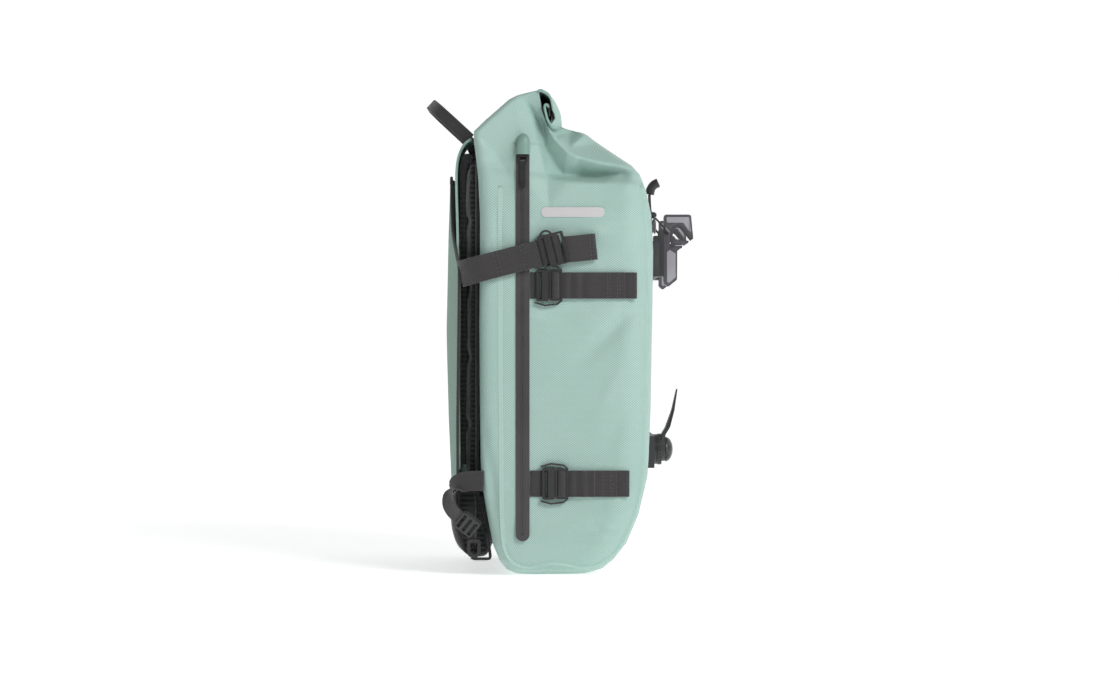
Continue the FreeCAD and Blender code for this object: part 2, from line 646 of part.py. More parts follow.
for name, route in cord_routes.items():
    side = -1 if name == "near" else 1
    shift = V(0, side * hook_y, 0)
    carriage_here, hook_here = carriage.copy(), hook.copy()
    insert_here, latch_here = insert.copy(), latch.copy()
    for shape in (carriage_here, hook_here, insert_here, latch_here):
        shape.translate(shift)
    along = (route[-1] - route[-2]).normalize()
    ferrule = rod(route[-1], route[-1] + along * 6, 2.1)
    hook_here = hook_here.fuse(ferrule).removeSplitter()
    path, radii = cord_path(route)
    circle = Part.Wire(Part.makeCircle(cord_d / 2, route[0], (route[1] - route[0])))
    cord = path.makePipeShell([circle], True, False)
    expected = path.Length * math.pi * cord_d * cord_d / 4
    ratio = round(cord.Volume / expected, 4)
    print("cord", name, "radii", radii, "length", round(path.Length, 1), "volume", ratio)
    save("hook_carriage_" + name, carriage_here)
    save("hook_body_" + name, hook_here)
    save("hook_insert_" + name, insert_here)
    save("hook_latch_" + name, latch_here)
    save("release_cord_" + name, cord)

# ---- release pull ----
pull_strap = band([V(91.6, -11, toggle_z + 1), V(90.2, -11, 362), V(89.7, -11, 372)], 2.0, V(0, 22, 0))
pull_grip = band([V(90.2, -12.5, 373), V(93.2, -12.5, 379.5), V(98.2, -12.5, 382.5)], 6.6, V(0, 25, 0))
toggle_outline = rectangle(90.2, 96.8, toggle_z, toggle_z + 5.5)
toggle = slab_y(toggle_outline, -11, 11, [0, 0, 1.5, 1.5])
release_pull = pull_strap.fuse(pull_grip).fuse(toggle)
release_pull = release_pull.cut(block(80, 110, -20, 20, 330, toggle_z)).removeSplitter()
save("release_pull", release_pull)

# ---- anti-sway finger on the lower rail ----
sway_foot = block(lower_floor + 0.3, lower_floor + 1.7, -13, 13, lower_z - 10.7, lower_z + 10.7)
sway_neck = block(lower_floor + 1.7, lower_floor + 3.8, -13, 13, lower_z - 6.2, lower_z + 6.2)
disc_low = lower_floor + 3.8
disc_high = 97.0
stud_r = 3.0


def on_axis(low, high, radius):
    return rod(V(low, 0, lower_z), V(high, 0, lower_z), radius)


sway_carriage = on_axis(disc_low, disc_high, 15).fuse(sway_foot).fuse(sway_neck).removeSplitter()
stud_low = disc_low + 0.4
sway_carriage = sway_carriage.cut(on_axis(stud_low - 0.2, 110, stud_r + 0.05))
save("sway_carriage", sway_carriage)

hub = on_axis(disc_high + 0.3, 101.8, 15.5)
tooth_count = 24
for k in range(tooth_count):
    angle = 2 * math.pi * k / tooth_count
    notch = V(98.3, 15.9 * math.cos(angle), lower_z + 15.9 * math.sin(angle))
    hub = hub.cut(rod(notch, notch + V(5, 0, 0), 1.1))
finger_outline = [
    (101.6, 116.5), (101.8, 132), (105.6, 138.5), (111.6, 155), (116.6, 176.8), (117.8, 176.6),
    (114.6, 155), (110.4, 139), (105.4, 130.5), (105.4, 116.5),
]
finger_side = slab_y(finger_outline, -14, 14, [0, 6, 6, 40, 0.4, 0.4, 40, 8, 3, 0])
finger_width = [(-12, 110), (12, 110), (12, 130), (6.5, 177.5), (-6.5, 177.5), (-12, 130)]
finger_front = slab_x(finger_width, 90, 125, [0, 0, 20, 5, 5, 20])
finger = finger_side.common(finger_front).fuse(on_axis(101.6, 105.4, 12)).fuse(hub).removeSplitter()
finger = finger.cut(on_axis(90, 120, stud_r + 0.05))
save("sway_finger", finger)

knob_low = 105.7
knob_r = 12.5
dome = Part.makeSphere(knob_r, V(knob_low, 0, lower_z))
flatten = FreeCAD.Matrix()
flatten.A11 = 0.6
flatten.A14 = knob_low * 0.4
dome = dome.transformGeometry(flatten).common(block(knob_low, 130, -20, 20, lower_z - 20, lower_z + 20))
for k in range(3):
    angle = math.radians(90 + 120 * k)
    notch = V(knob_low - 1, 15.5 * math.cos(angle), lower_z + 15.5 * math.sin(angle))
    dome = dome.cut(rod(notch, notch + V(20, 0, 0), 5))
knob = dome.fuse(on_axis(stud_low, knob_low + 1, stud_r)).removeSplitter()
save("sway_knob", knob)
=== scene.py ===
import bpy
import bmesh
import math
import numpy as np
from mathutils import Matrix, Vector, geometry, noise


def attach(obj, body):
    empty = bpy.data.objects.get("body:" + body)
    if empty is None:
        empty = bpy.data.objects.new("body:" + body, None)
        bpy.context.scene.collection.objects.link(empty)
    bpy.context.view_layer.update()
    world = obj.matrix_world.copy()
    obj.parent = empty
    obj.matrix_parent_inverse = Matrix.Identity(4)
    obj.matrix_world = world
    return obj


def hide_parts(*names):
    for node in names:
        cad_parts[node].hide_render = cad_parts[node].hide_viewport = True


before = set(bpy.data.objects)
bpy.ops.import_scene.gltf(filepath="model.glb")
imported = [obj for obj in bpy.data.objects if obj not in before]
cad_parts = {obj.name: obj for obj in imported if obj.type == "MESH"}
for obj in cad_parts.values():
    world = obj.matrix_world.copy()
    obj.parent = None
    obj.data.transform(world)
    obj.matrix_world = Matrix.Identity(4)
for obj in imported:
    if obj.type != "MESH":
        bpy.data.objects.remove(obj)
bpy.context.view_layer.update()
scene = bpy.context.scene
mm = 0.001

# roll-top pannier: -y is the zip side, +x the rack side with the hooks, -x the carrying side
sides = (("near", -1), ("far", 1))


# camera, light and floor

camera = {"distance": 3.0, "height": 0.221, "lens": 96.5}
studio = {"floor": (0.9, 0.9, 0.905), "glow": 0.56, "world": 0.22, "key": 37.0, "fill": 1.0, "rack": 6.0,
          "top": 1.0}


def makeCamera():
    data = bpy.data.cameras.new("camera")
    data.lens = camera["lens"]
    data.sensor_width = 36
    data.clip_start, data.clip_end = 0.1, 30
    eye = bpy.data.objects.new("camera", data)
    eye.location = (0, -camera["distance"], camera["height"])
    eye.rotation_euler = (math.radians(90), 0, 0)
    scene.collection.objects.link(eye)
    scene.camera = eye


def areaLight(name, power, size, place, aim=(0, 0, 0.22)):
    data = bpy.data.lights.new(name, "AREA")
    data.energy, data.size = power, size
    lamp = bpy.data.objects.new(name, data)
    lamp.location = place
    lamp.rotation_euler = (Vector(aim) - Vector(place)).to_track_quat("-Z", "Y").to_euler()
    scene.collection.objects.link(lamp)


def makeStudio():
    scene.view_settings.view_transform = "Standard"
    world = bpy.data.worlds.new("studio")
    scene.world = world
    world.use_nodes = True
    sky = world.node_tree.nodes["Background"]
    sky.inputs[0].default_value = (1, 1, 1, 1)
    sky.inputs[1].default_value = studio["world"]
    areaLight("keySoftbox", studio["key"], 0.9, (1.3, -1.9, 1.5))
    areaLight("fillSoftbox", studio["fill"], 1.8, (1.7, -2.0, 0.9))
    areaLight("rackSoftbox", studio["rack"], 1.2, (2.0, 0.6, 1.3))
    areaLight("topSoftbox", studio["top"], 1.6, (0, 0.4, 2.3))
    sheet = bmesh.new()
    # floor that sweeps up behind, drawn as a profile and pulled out sideways
    profile = [(-5.0, 0.0), (2.6, 0.0)]
    profile += [(2.6 + 1.2 * math.sin(a), 1.2 - 1.2 * math.cos(a)) for a in np.linspace(0.15, math.pi / 2, 9)]
    profile += [(3.8, 5.0)]
    left = [sheet.verts.new((-5.0, y, z)) for y, z in profile]
    right = [sheet.verts.new((5.0, y, z)) for y, z in profile]
    for k in range(len(profile) - 1):
        sheet.faces.new((left[k], right[k], right[k + 1], left[k + 1]))
    floor = addMesh("floorSweep", sheet, smooth=True)
    floor.data.materials.append(paperMaterial())


# mesh helpers

def addMesh(name, bm, smooth=False, material=None):
    mesh = bpy.data.meshes.new(name)
    bm.to_mesh(mesh)
    bm.free()
    obj = bpy.data.objects.new(name, mesh)
    scene.collection.objects.link(obj)
    if smooth:
        for face in mesh.polygons:
            face.use_smooth = True
    if material:
        mesh.materials.append(material)
    return obj


def clothMesh():
    # an empty mesh whose weave map holds metres along and across the cloth
    bm = bmesh.new()
    return bm, bm.loops.layers.uv.new("weave")


def markFace(face, weave, marks):
    for loop, mark in zip(face.loops, marks):
        loop[weave].uv = mark


def markByPlace(face, weave, first, second):
    markFace(face, weave, [(loop.vert.co[first], loop.vert.co[second]) for loop in face.loops])


def finishPiece(obj, body, nodes=()):
    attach(obj, body)
    if nodes:
        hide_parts(*nodes)
    return obj


def bake(obj):
    # the evaluated mesh takes the modifiers' place
    graph = bpy.context.evaluated_depsgraph_get()
    plain = bpy.data.meshes.new_from_object(obj.evaluated_get(graph))
    obj.modifiers.clear()
    obj.data = plain
    return obj


def smoothSteps(points, closed=False, steps=6):
    # Catmull-Rom line through the points
    points = [Vector(p) for p in points]
    count = len(points)
    line = []
    spans = count if closed else count - 1
    for k in range(spans):
        if closed:
            a, b, c, d = (points[(k + shift) % count] for shift in (-1, 0, 1, 2))
        else:
            a, b, c, d = points[max(k - 1, 0)], points[k], points[k + 1], points[min(k + 2, count - 1)]
        for j in range(steps):
            t = j / steps
            line.append(0.5 * (2 * b + (c - a) * t + (2 * a - 5 * b + 4 * c - d) * t * t
                               + (3 * b - a - 3 * c + d) * t ** 3))
    if not closed:
        line.append(points[-1])
    return line


def flatSteps(points):
    # the same for points in x and z
    return [(p.x, p.z) for p in smoothSteps([(x, 0, z) for x, z in points])]


def evenSteps(points, gap):
    # the same line with points a steady gap apart
    lengths = [0.0]
    for a, b in zip(points, points[1:]):
        lengths.append(lengths[-1] + (b - a).length)
    count = max(2, round(lengths[-1] / gap) + 1)
    even, k = [], 0
    for j in range(count):
        want = lengths[-1] * j / (count - 1)
        while k < len(points) - 2 and lengths[k + 1] < want:
            k += 1
        share = (want - lengths[k]) / max(lengths[k + 1] - lengths[k], 1e-9)
        even.append(points[k].lerp(points[k + 1], min(max(share, 0), 1)))
    return even


def sweep(name, line, across, profile, material, caps=True):
    # profile points are (across, out) in metres; the uv map holds metres along and across
    bm, weave = clothMesh()
    if not hasattr(across[0], "__len__"):
        across = [across] * len(line)
    rings, travelled = [], 0.0
    around = [0.0]
    count = len(profile)
    for k in range(count):
        here, after = profile[k], profile[(k + 1) % count]
        around.append(around[-1] + math.dist(here, after))
    places = []
    for k, centre in enumerate(line):
        before, beyond = line[max(k - 1, 0)], line[min(k + 1, len(line) - 1)]
        along = (beyond - before).normalized()
        wide = Vector(across[k])
        wide = (wide - along * wide.dot(along)).normalized()
        out = wide.cross(along)
        if k:
            travelled += (centre - line[k - 1]).length
        places.append(travelled)
        rings.append([bm.verts.new(centre + wide * a + out * b) for a, b in profile])
    for k in range(len(line) - 1):
        for j in range(count):
            i = (j + 1) % count
            face = bm.faces.new((rings[k][j], rings[k][i], rings[k + 1][i], rings[k + 1][j]))
            marks = [(places[k], around[j]), (places[k], around[j + 1]),
                     (places[k + 1], around[j + 1]), (places[k + 1], around[j])]
            markFace(face, weave, marks)
    if caps:
        bm.faces.new(rings[0][::-1])
        bm.faces.new(rings[-1])
    bmesh.ops.recalc_face_normals(bm, faces=bm.faces)
    return addMesh(name, bm, smooth=True, material=material)


def strapProfile(width, thick):
    # flat web with rounded, slightly swollen selvedges
    half, t = width / 2, thick / 2
    edge = 1.12 * t
    right = [(half - 1.6 * edge, t), (half - 0.8 * edge, edge), (half - 0.2 * edge, 0.6 * edge), (half, 0),
             (half - 0.2 * edge, -0.6 * edge), (half - 0.8 * edge, -edge), (half - 1.6 * edge, -t)]
    lower = [(half * f, -t) for f in (0.6, 0.2, -0.2, -0.6)]
    left = [(-a, -b) for a, b in right]
    upper = [(half * f, t) for f in (-0.6, -0.2, 0.2, 0.6)]
    return right + lower + left + upper


def webbing(name, points, across, width, thick, body, nodes=(), material=None, gap=3.0, soft=True):
    line = [Vector(p) * mm for p in points]
    if soft and len(line) > 2:
        line = smoothSteps(line)
    line = evenSteps(line, gap * mm)
    if hasattr(across[0], "__len__"):
        wides = []
        for k in range(len(line)):
            place = k / (len(line) - 1) * (len(across) - 1)
            low = min(int(place), len(across) - 2)
            wides.append(Vector(across[low]).lerp(Vector(across[low + 1]), place - low))
        across = wides
    else:
        across = [across] * len(line)
    strap = sweep(name, line, across, strapProfile(width * mm, thick * mm), material or blackWebbing)
    return finishPiece(strap, body, nodes)


# materials

def material(name, colour, rough, metal=0.0, sheen=0.0, coat=0.0, specular=0.5):
    made = bpy.data.materials.new(name)
    made.use_nodes = True
    tree = made.node_tree
    shader = tree.nodes["Principled BSDF"]
    shader.inputs["Base Color"].default_value = (*colour, 1)
    shader.inputs["Roughness"].default_value = rough
    shader.inputs["Metallic"].default_value = metal
    shader.inputs["Sheen Weight"].default_value = sheen
    shader.inputs["Coat Weight"].default_value = coat
    shader.inputs["Specular IOR Level"].default_value = specular
    return made, tree, shader


def node(tree, kind, settings=None, **inputs):
    made = tree.nodes.new(kind)
    for key, value in (settings or {}).items():
        setattr(made, key, value)
    for key, value in inputs.items():
        numbered = key.startswith("in") and key[2:].isdigit()
        socket = made.inputs[int(key[2:]) if numbered else key.replace("_", " ")]
        if isinstance(value, bpy.types.NodeSocket):
            tree.links.new(value, socket)
        else:
            socket.default_value = value
    return made


def maths(tree, operation, first, second=0.0, third=0.0):
    made = node(tree, "ShaderNodeMath", {"operation": operation}, in0=first, in1=second, in2=third)
    return made.outputs[0]


def blendColour(tree, share, low, high):
    made = node(tree, "ShaderNodeMix", {"data_type": "RGBA"})
    for index, value in ((0, share), (6, low), (7, high)):
        if isinstance(value, bpy.types.NodeSocket):
            tree.links.new(value, made.inputs[index])
        else:
            made.inputs[index].default_value = value if index == 0 else (*value, 1)
    return made.outputs[2]


def bump(tree, shader, height, strength, distance, under=None):
    made = node(tree, "ShaderNodeBump", None, Height=height, Strength=strength, Distance=distance)
    if under:
        tree.links.new(under, made.inputs["Normal"])
    tree.links.new(made.outputs[0], shader.inputs["Normal"])
    return made.outputs[0]


def weaveSpace(tree, pattern="weave"):
    # metres along and across the piece
    spot = node(tree, "ShaderNodeUVMap", {"uv_map": pattern})
    parts = node(tree, "ShaderNodeSeparateXYZ", None, Vector=spot.outputs[0])
    return spot.outputs[0], parts.outputs[0], parts.outputs[1]


def objectNoise(tree, scale, detail=3.0, rough=0.55):
    spot = node(tree, "ShaderNodeTexCoord").outputs["Object"]
    return node(tree, "ShaderNodeTexNoise", None, Vector=spot, Scale=scale, Detail=detail,
                Roughness=rough).outputs[0]


tarpaulin = {"mint": (0.315, 0.49, 0.43), "light": (0.53, 0.7, 0.655), "shade": (0.17, 0.31, 0.26),
             "pitch": 0.0029, "rough": 0.42, "bump": 0.55}


def tarpMaterial(name, mid, light, shade, pitch, rough, strength):
    made, tree, shader = material(name, mid, rough, sheen=0.12, specular=0.45)
    spot, along, up = weaveSpace(tree)
    # two sets of slanted threads leave small diamonds a little wider than high
    wide = maths(tree, "MULTIPLY", along, math.pi / pitch)
    high = maths(tree, "MULTIPLY", up, math.pi / (pitch * 0.74))
    first = maths(tree, "ABSOLUTE", maths(tree, "SINE", maths(tree, "ADD", wide, high)))
    second = maths(tree, "ABSOLUTE", maths(tree, "SINE", maths(tree, "SUBTRACT", wide, high)))
    knot = maths(tree, "MULTIPLY", first, second)
    thread = maths(tree, "POWER", knot, 0.6)
    fine = node(tree, "ShaderNodeTexNoise", None, Vector=spot, Scale=900.0, Detail=2.0).outputs[0]
    cloudy = objectNoise(tree, 9.0)
    worn = objectNoise(tree, 38.0, 5.0, 0.62)
    tone = blendColour(tree, thread, shade, light)
    cloud = node(tree, "ShaderNodeMapRange", None, Value=cloudy, From_Min=0.35, From_Max=0.65,
                 To_Min=0.12, To_Max=0.5)
    tone = blendColour(tree, cloud.outputs[0], tone, mid)
    scuff = node(tree, "ShaderNodeMapRange", None, Value=worn, From_Min=0.6, From_Max=0.8, To_Max=0.25)
    tone = blendColour(tree, scuff.outputs[0], tone, light)
    tree.links.new(tone, shader.inputs["Base Color"])
    gloss = node(tree, "ShaderNodeMapRange", None, Value=thread, To_Min=rough + 0.12, To_Max=rough - 0.06)
    gloss = maths(tree, "MULTIPLY_ADD", worn, 0.16, gloss.outputs[0])
    tree.links.new(maths(tree, "SUBTRACT", gloss, 0.06), shader.inputs["Roughness"])
    soft = bump(tree, shader, cloudy, 0.25, 0.002)
    relief = maths(tree, "MULTIPLY_ADD", fine, 0.25, thread)
    bump(tree, shader, relief, strength, 0.00035, soft)
    return made


def webMaterial(name, colour=(0.024, 0.022, 0.0235), ribs=0.0018, rough=0.62):
    # length runs with the straps, with a chevron weave across
    made, tree, shader = material(name, colour, rough, sheen=0.35, specular=0.3)
    spot, along, wide = weaveSpace(tree)
    zig = maths(tree, "PINGPONG", wide, 0.003)
    slant = maths(tree, "ADD", along, zig)
    weft = maths(tree, "SINE", maths(tree, "MULTIPLY", slant, 2 * math.pi / ribs))
    warp = maths(tree, "SINE", maths(tree, "MULTIPLY", wide, 2 * math.pi / 0.0011))
    relief = maths(tree, "MULTIPLY_ADD", warp, 0.4, weft)
    hair = node(tree, "ShaderNodeTexNoise", None, Vector=spot, Scale=1400.0, Detail=3.0).outputs[0]
    relief = maths(tree, "MULTIPLY_ADD", hair, 1.2, relief)
    shade = maths(tree, "MULTIPLY_ADD", relief, 0.2, 0.4)
    dark = tuple(0.55 * c for c in colour)
    bright = tuple(min(1, 2.1 * c + 0.01) for c in colour)
    tree.links.new(blendColour(tree, shade, dark, bright), shader.inputs["Base Color"])
    dusty = objectNoise(tree, 60.0, 4.0)
    tree.links.new(maths(tree, "MULTIPLY_ADD", dusty, 0.2, rough - 0.1), shader.inputs["Roughness"])
    bump(tree, shader, relief, 0.5, 0.0003)
    return made


def meshMaterial(name):
    # spacer mesh: small holes in staggered rows on a knitted face
    made, tree, shader = material(name, (0.022, 0.022, 0.024), 0.8, sheen=0.4, specular=0.25)
    spot = node(tree, "ShaderNodeTexCoord").outputs["Object"]
    parts = node(tree, "ShaderNodeSeparateXYZ", None, Vector=spot)
    across, up = parts.outputs[1], parts.outputs[2]
    pitch = 0.0034
    a = maths(tree, "COSINE", maths(tree, "MULTIPLY", across, 2 * math.pi / pitch))
    b = maths(tree, "COSINE", maths(tree, "MULTIPLY", up, 2 * math.pi / (pitch * 1.4)))
    hole = maths(tree, "ADD", a, b)
    c = maths(tree, "MULTIPLY", a, b)
    net = maths(tree, "MULTIPLY_ADD", hole, 0.25, maths(tree, "MULTIPLY_ADD", c, 0.25, 0.5))
    fluff = objectNoise(tree, 900.0, 2.0)
    relief = maths(tree, "MULTIPLY_ADD", fluff, 0.4, net)
    tree.links.new(blendColour(tree, net, (0.05, 0.05, 0.053), (0.008, 0.008, 0.009)),
                   shader.inputs["Base Color"])
    tree.links.new(maths(tree, "MULTIPLY_ADD", fluff, 0.25, 0.66), shader.inputs["Roughness"])
    flipped = maths(tree, "SUBTRACT", 1.0, relief)
    bump(tree, shader, flipped, 0.7, 0.0006)
    return made


def plasticMaterial(name, colour, rough, grain=700.0, strength=0.12, specular=0.5):
    # moulded plastic: fine spark texture, slight gloss changes and paler rubbed places
    made, tree, shader = material(name, colour, rough, specular=specular)
    grainy = objectNoise(tree, grain, 2.0)
    patch = objectNoise(tree, 45.0, 4.0)
    rubbed = node(tree, "ShaderNodeMapRange", None, Value=patch, From_Min=0.5, From_Max=0.75, To_Max=0.35)
    pale = tuple(min(1, 1.6 * c + 0.015) for c in colour)
    tree.links.new(blendColour(tree, rubbed.outputs[0], colour, pale), shader.inputs["Base Color"])
    tree.links.new(maths(tree, "MULTIPLY_ADD", patch, 0.22, rough - 0.11), shader.inputs["Roughness"])
    eased = node(tree, "ShaderNodeBevel", {"samples": 4}, Radius=0.0006).outputs[0]
    bump(tree, shader, grainy, strength, 0.0003, eased)
    return made


def metalMaterial(name, colour, rough):
    made, tree, shader = material(name, colour, rough, metal=1.0)
    brushed = objectNoise(tree, 320.0, 3.0)
    patch = objectNoise(tree, 60.0, 3.0)
    tree.links.new(maths(tree, "MULTIPLY_ADD", patch, 0.25, rough - 0.12), shader.inputs["Roughness"])
    darker = tuple(0.7 * c for c in colour)
    tree.links.new(blendColour(tree, brushed, darker, colour), shader.inputs["Base Color"])
    bump(tree, shader, brushed, 0.1, 0.0002)
    return made


def tapeMaterial(name, colour, rough, strength=0.25):
    # coated tape: smooth film with a faint orange-peel
    made, tree, shader = material(name, colour, rough, coat=0.15)
    peel = objectNoise(tree, 420.0, 2.0)
    patch = objectNoise(tree, 30.0, 4.0)
    pale = tuple(min(1, 1.8 * c + 0.01) for c in colour)
    tree.links.new(blendColour(tree, patch, colour, pale), shader.inputs["Base Color"])
    tree.links.new(maths(tree, "MULTIPLY_ADD", patch, 0.25, rough - 0.12), shader.inputs["Roughness"])
    bump(tree, shader, peel, strength, 0.0002)
    return made


def reflectiveMaterial():
    # silver film with a fine honeycomb and faint scuffs
    made, tree, shader = material("reflectiveFilm", (0.62, 0.6, 0.615), 0.38, metal=0.25)
    spot = node(tree, "ShaderNodeTexCoord").outputs["Object"]
    cells = node(tree, "ShaderNodeTexVoronoi", {"feature": "DISTANCE_TO_EDGE"}, Vector=spot,
                 Scale=900.0).outputs[0]
    scuff = objectNoise(tree, 70.0, 5.0)
    tone = blendColour(tree, maths(tree, "MULTIPLY", scuff, 0.6), (0.66, 0.64, 0.65), (0.5, 0.49, 0.5))
    tree.links.new(tone, shader.inputs["Base Color"])
    tree.links.new(maths(tree, "MULTIPLY_ADD", scuff, 0.3, 0.25), shader.inputs["Roughness"])
    bump(tree, shader, cells, 0.2, 0.0003)
    return made


def paperMaterial():
    made, tree, shader = material("studioPaper", studio["floor"], 0.75, specular=0.1)
    grain = objectNoise(tree, 12.0, 3.0)
    pale = blendColour(tree, maths(tree, "MULTIPLY", grain, 0.05), studio["floor"], (0.9, 0.9, 0.9))
    tree.links.new(pale, shader.inputs["Base Color"])
    shader.inputs["Emission Color"].default_value = (1, 1, 1, 1)
    shader.inputs["Emission Strength"].default_value = studio["glow"]
    return made


makeCamera()
makeStudio()

t = tarpaulin
mintTarp = tarpMaterial("mintTarpaulin", t["mint"], t["light"], t["shade"], t["pitch"], t["rough"], t["bump"])
mintFacing = tarpMaterial("mintFacing", (0.29, 0.44, 0.38), (0.36, 0.52, 0.46), (0.23, 0.37, 0.31),
                          0.0016, 0.6, 0.35)
sageCover = tarpMaterial("sageCover", (0.205, 0.36, 0.285), (0.235, 0.395, 0.32), (0.17, 0.31, 0.24),
                         0.0012, 0.68, 0.3)
weldSeam = tarpMaterial("weldedSeam", (0.37, 0.55, 0.485), (0.46, 0.63, 0.57), (0.3, 0.47, 0.41), 0.0029,
                        0.45, 0.25)
blackWebbing = webMaterial("blackWebbing")
edgeBinding = webMaterial("edgeBinding", (0.02, 0.02, 0.021), 0.0012, 0.75)
threadBlack = webMaterial("stitchThread", (0.05, 0.048, 0.05), 0.0006, 0.55)
threadGreen = webMaterial("paleThread", (0.3, 0.45, 0.38), 0.0006, 0.6)
meshFoam = meshMaterial("spacerMesh")
bucklePlastic = plasticMaterial("bucklePlastic", (0.024, 0.023, 0.024), 0.36)
plasticMaterial("railPlastic", (0.028, 0.028, 0.03), 0.5)
plasticMaterial("hookPlastic", (0.085, 0.08, 0.09), 0.26, 500.0, 0.12)
hookPanel = plasticMaterial("hookPanel", (0.33, 0.315, 0.35), 0.3, 500.0, 0.15)
plasticMaterial("hookLining", (0.04, 0.038, 0.042), 0.5, 900.0, 0.2)
garageFilm = tarpMaterial("garageFilm", (0.18, 0.3, 0.25), (0.26, 0.4, 0.35), (0.12, 0.22, 0.18), 0.0029,
                          0.32, 0.2)
plasticMaterial("swayPlastic", (0.03, 0.03, 0.031), 0.32)
plasticMaterial("innerBoard", (0.06, 0.06, 0.06), 0.6)
metalMaterial("screwSteel", (0.55, 0.55, 0.56), 0.32)
metalMaterial("zipMetal", (0.09, 0.088, 0.09), 0.3)
zipTape = tapeMaterial("zipTape", (0.028, 0.026, 0.027), 0.45)
coilNylon = plasticMaterial("coilNylon", (0.02, 0.02, 0.02), 0.4)
reflective = reflectiveMaterial()
print("materials ready")


# release cords

cords = {
    "near": {"route": [(91.5, -6, 347.5), (91.5, -6, 333.5), (92.2, -28, 331.5),
                       (93, -60, 345.5), (93.5, -84, 343.5), (102.6, -84, 333.8)], "length": 0.1029},
    "far": {"route": [(94.8, 6, 347.5), (94.8, 6, 333.5), (96.5, 27, 333),
                      (97.5, 57, 350), (94, 83, 344.5), (102.6, 84, 333.8)], "length": 0.1038},
}
cordWidth = 0.002


def makeCords():
    for side, cut in cords.items():
        data = bpy.data.curves.new("releaseCord_" + side, "CURVE")
        data.dimensions = "3D"
        data.bevel_depth = cordWidth / 2
        data.bevel_resolution = 3
        data.resolution_u = 12
        spline = data.splines.new("NURBS")
        spline.points.add(len(cut["route"]) - 1)
        for point, place in zip(spline.points, cut["route"]):
            point.co = (*(c * mm for c in place), 1)
        spline.order_u = 3
        spline.use_endpoint_u = True
        cordPiece = bpy.data.objects.new("releaseCord_" + side, data)
        scene.collection.objects.link(cordPiece)
        data.materials.append(cordCover)
        finishPiece(cordPiece, "hook_" + side, ["release_cord_" + side])


def cordMaterial():
    # braid drawn on object coordinates, since the cord is a bare curve
    made, tree, shader = material("cordBraid", (0.02, 0.02, 0.021), 0.6, sheen=0.3)
    spot = node(tree, "ShaderNodeTexCoord").outputs["Object"]
    braid = node(tree, "ShaderNodeTexVoronoi", None, Vector=spot, Scale=1500.0).outputs[0]
    tree.links.new(blendColour(tree, braid, (0.05, 0.05, 0.05), (0.012, 0.012, 0.012)),
                   shader.inputs["Base Color"])
    fuzz = objectNoise(tree, 1800.0, 2.0)
    tree.links.new(maths(tree, "MULTIPLY_ADD", fuzz, 0.3, 0.45), shader.inputs["Roughness"])
    bump(tree, shader, braid, 0.5, 0.0004)
    return made


cordCover = cordMaterial()
makeCords()
print("cords ready")


# the bag's shell

# each level pairs a point of the carrying side with one of the rack side: x, z, x, z,
# then the half widths and the corner radii left and right, in millimetres
shell = {
    "levels": [
        (-43, 0.3, 28, 0.3, 116, 112, 18, 22),
        (-51, 5, 42, 5, 132, 128, 20, 28),
        (-57.5, 14, 52, 14, 141, 138, 18, 30),
        (-63.5, 30, 64, 30, 147, 146, 14, 30),
        (-69, 58, 76, 58, 150, 150, 12, 30),
        (-75, 95, 84.5, 95, 150, 150, 12, 28),
        (-76, 160, 87.5, 160, 150, 150, 12, 28),
        (-76.5, 240, 89, 240, 150, 150, 12, 28),
        (-76, 310, 90, 310, 150, 150, 12, 28),
        (-76, 345, 88, 345, 150, 150, 12, 26),
        (-77.5, 378, 83, 368, 150, 150, 12, 22),
        (-79.5, 398, 77, 383, 150, 150, 10, 16),
        (-81.5, 414, 69, 392, 150, 149, 8, 12),
        (-81.5, 424, 57, 400.5, 150, 146, 6, 12),
        (-71, 434.5, 41, 412, 150, 142, 6, 12),
        (-59, 445, 25, 423.5, 150, 141, 6, 14),
        (-48, 454.5, 8, 425.5, 150, 144, 5, 12),
        (-40, 458.5, -6, 425.5, 150, 146, 5, 8),
        (-33, 460.3, -10.5, 427, 150, 148.5, 5, 3),
        (-27, 461.6, -16.5, 444, 150, 149, 3, 2),
        (-22, 462.5, -19.5, 461, 150, 149, 1, 1),
    ],
    "rows": 250, "sideSteps": 104, "panelSteps": 40, "cornerSteps": 7, "soften": 1,
}

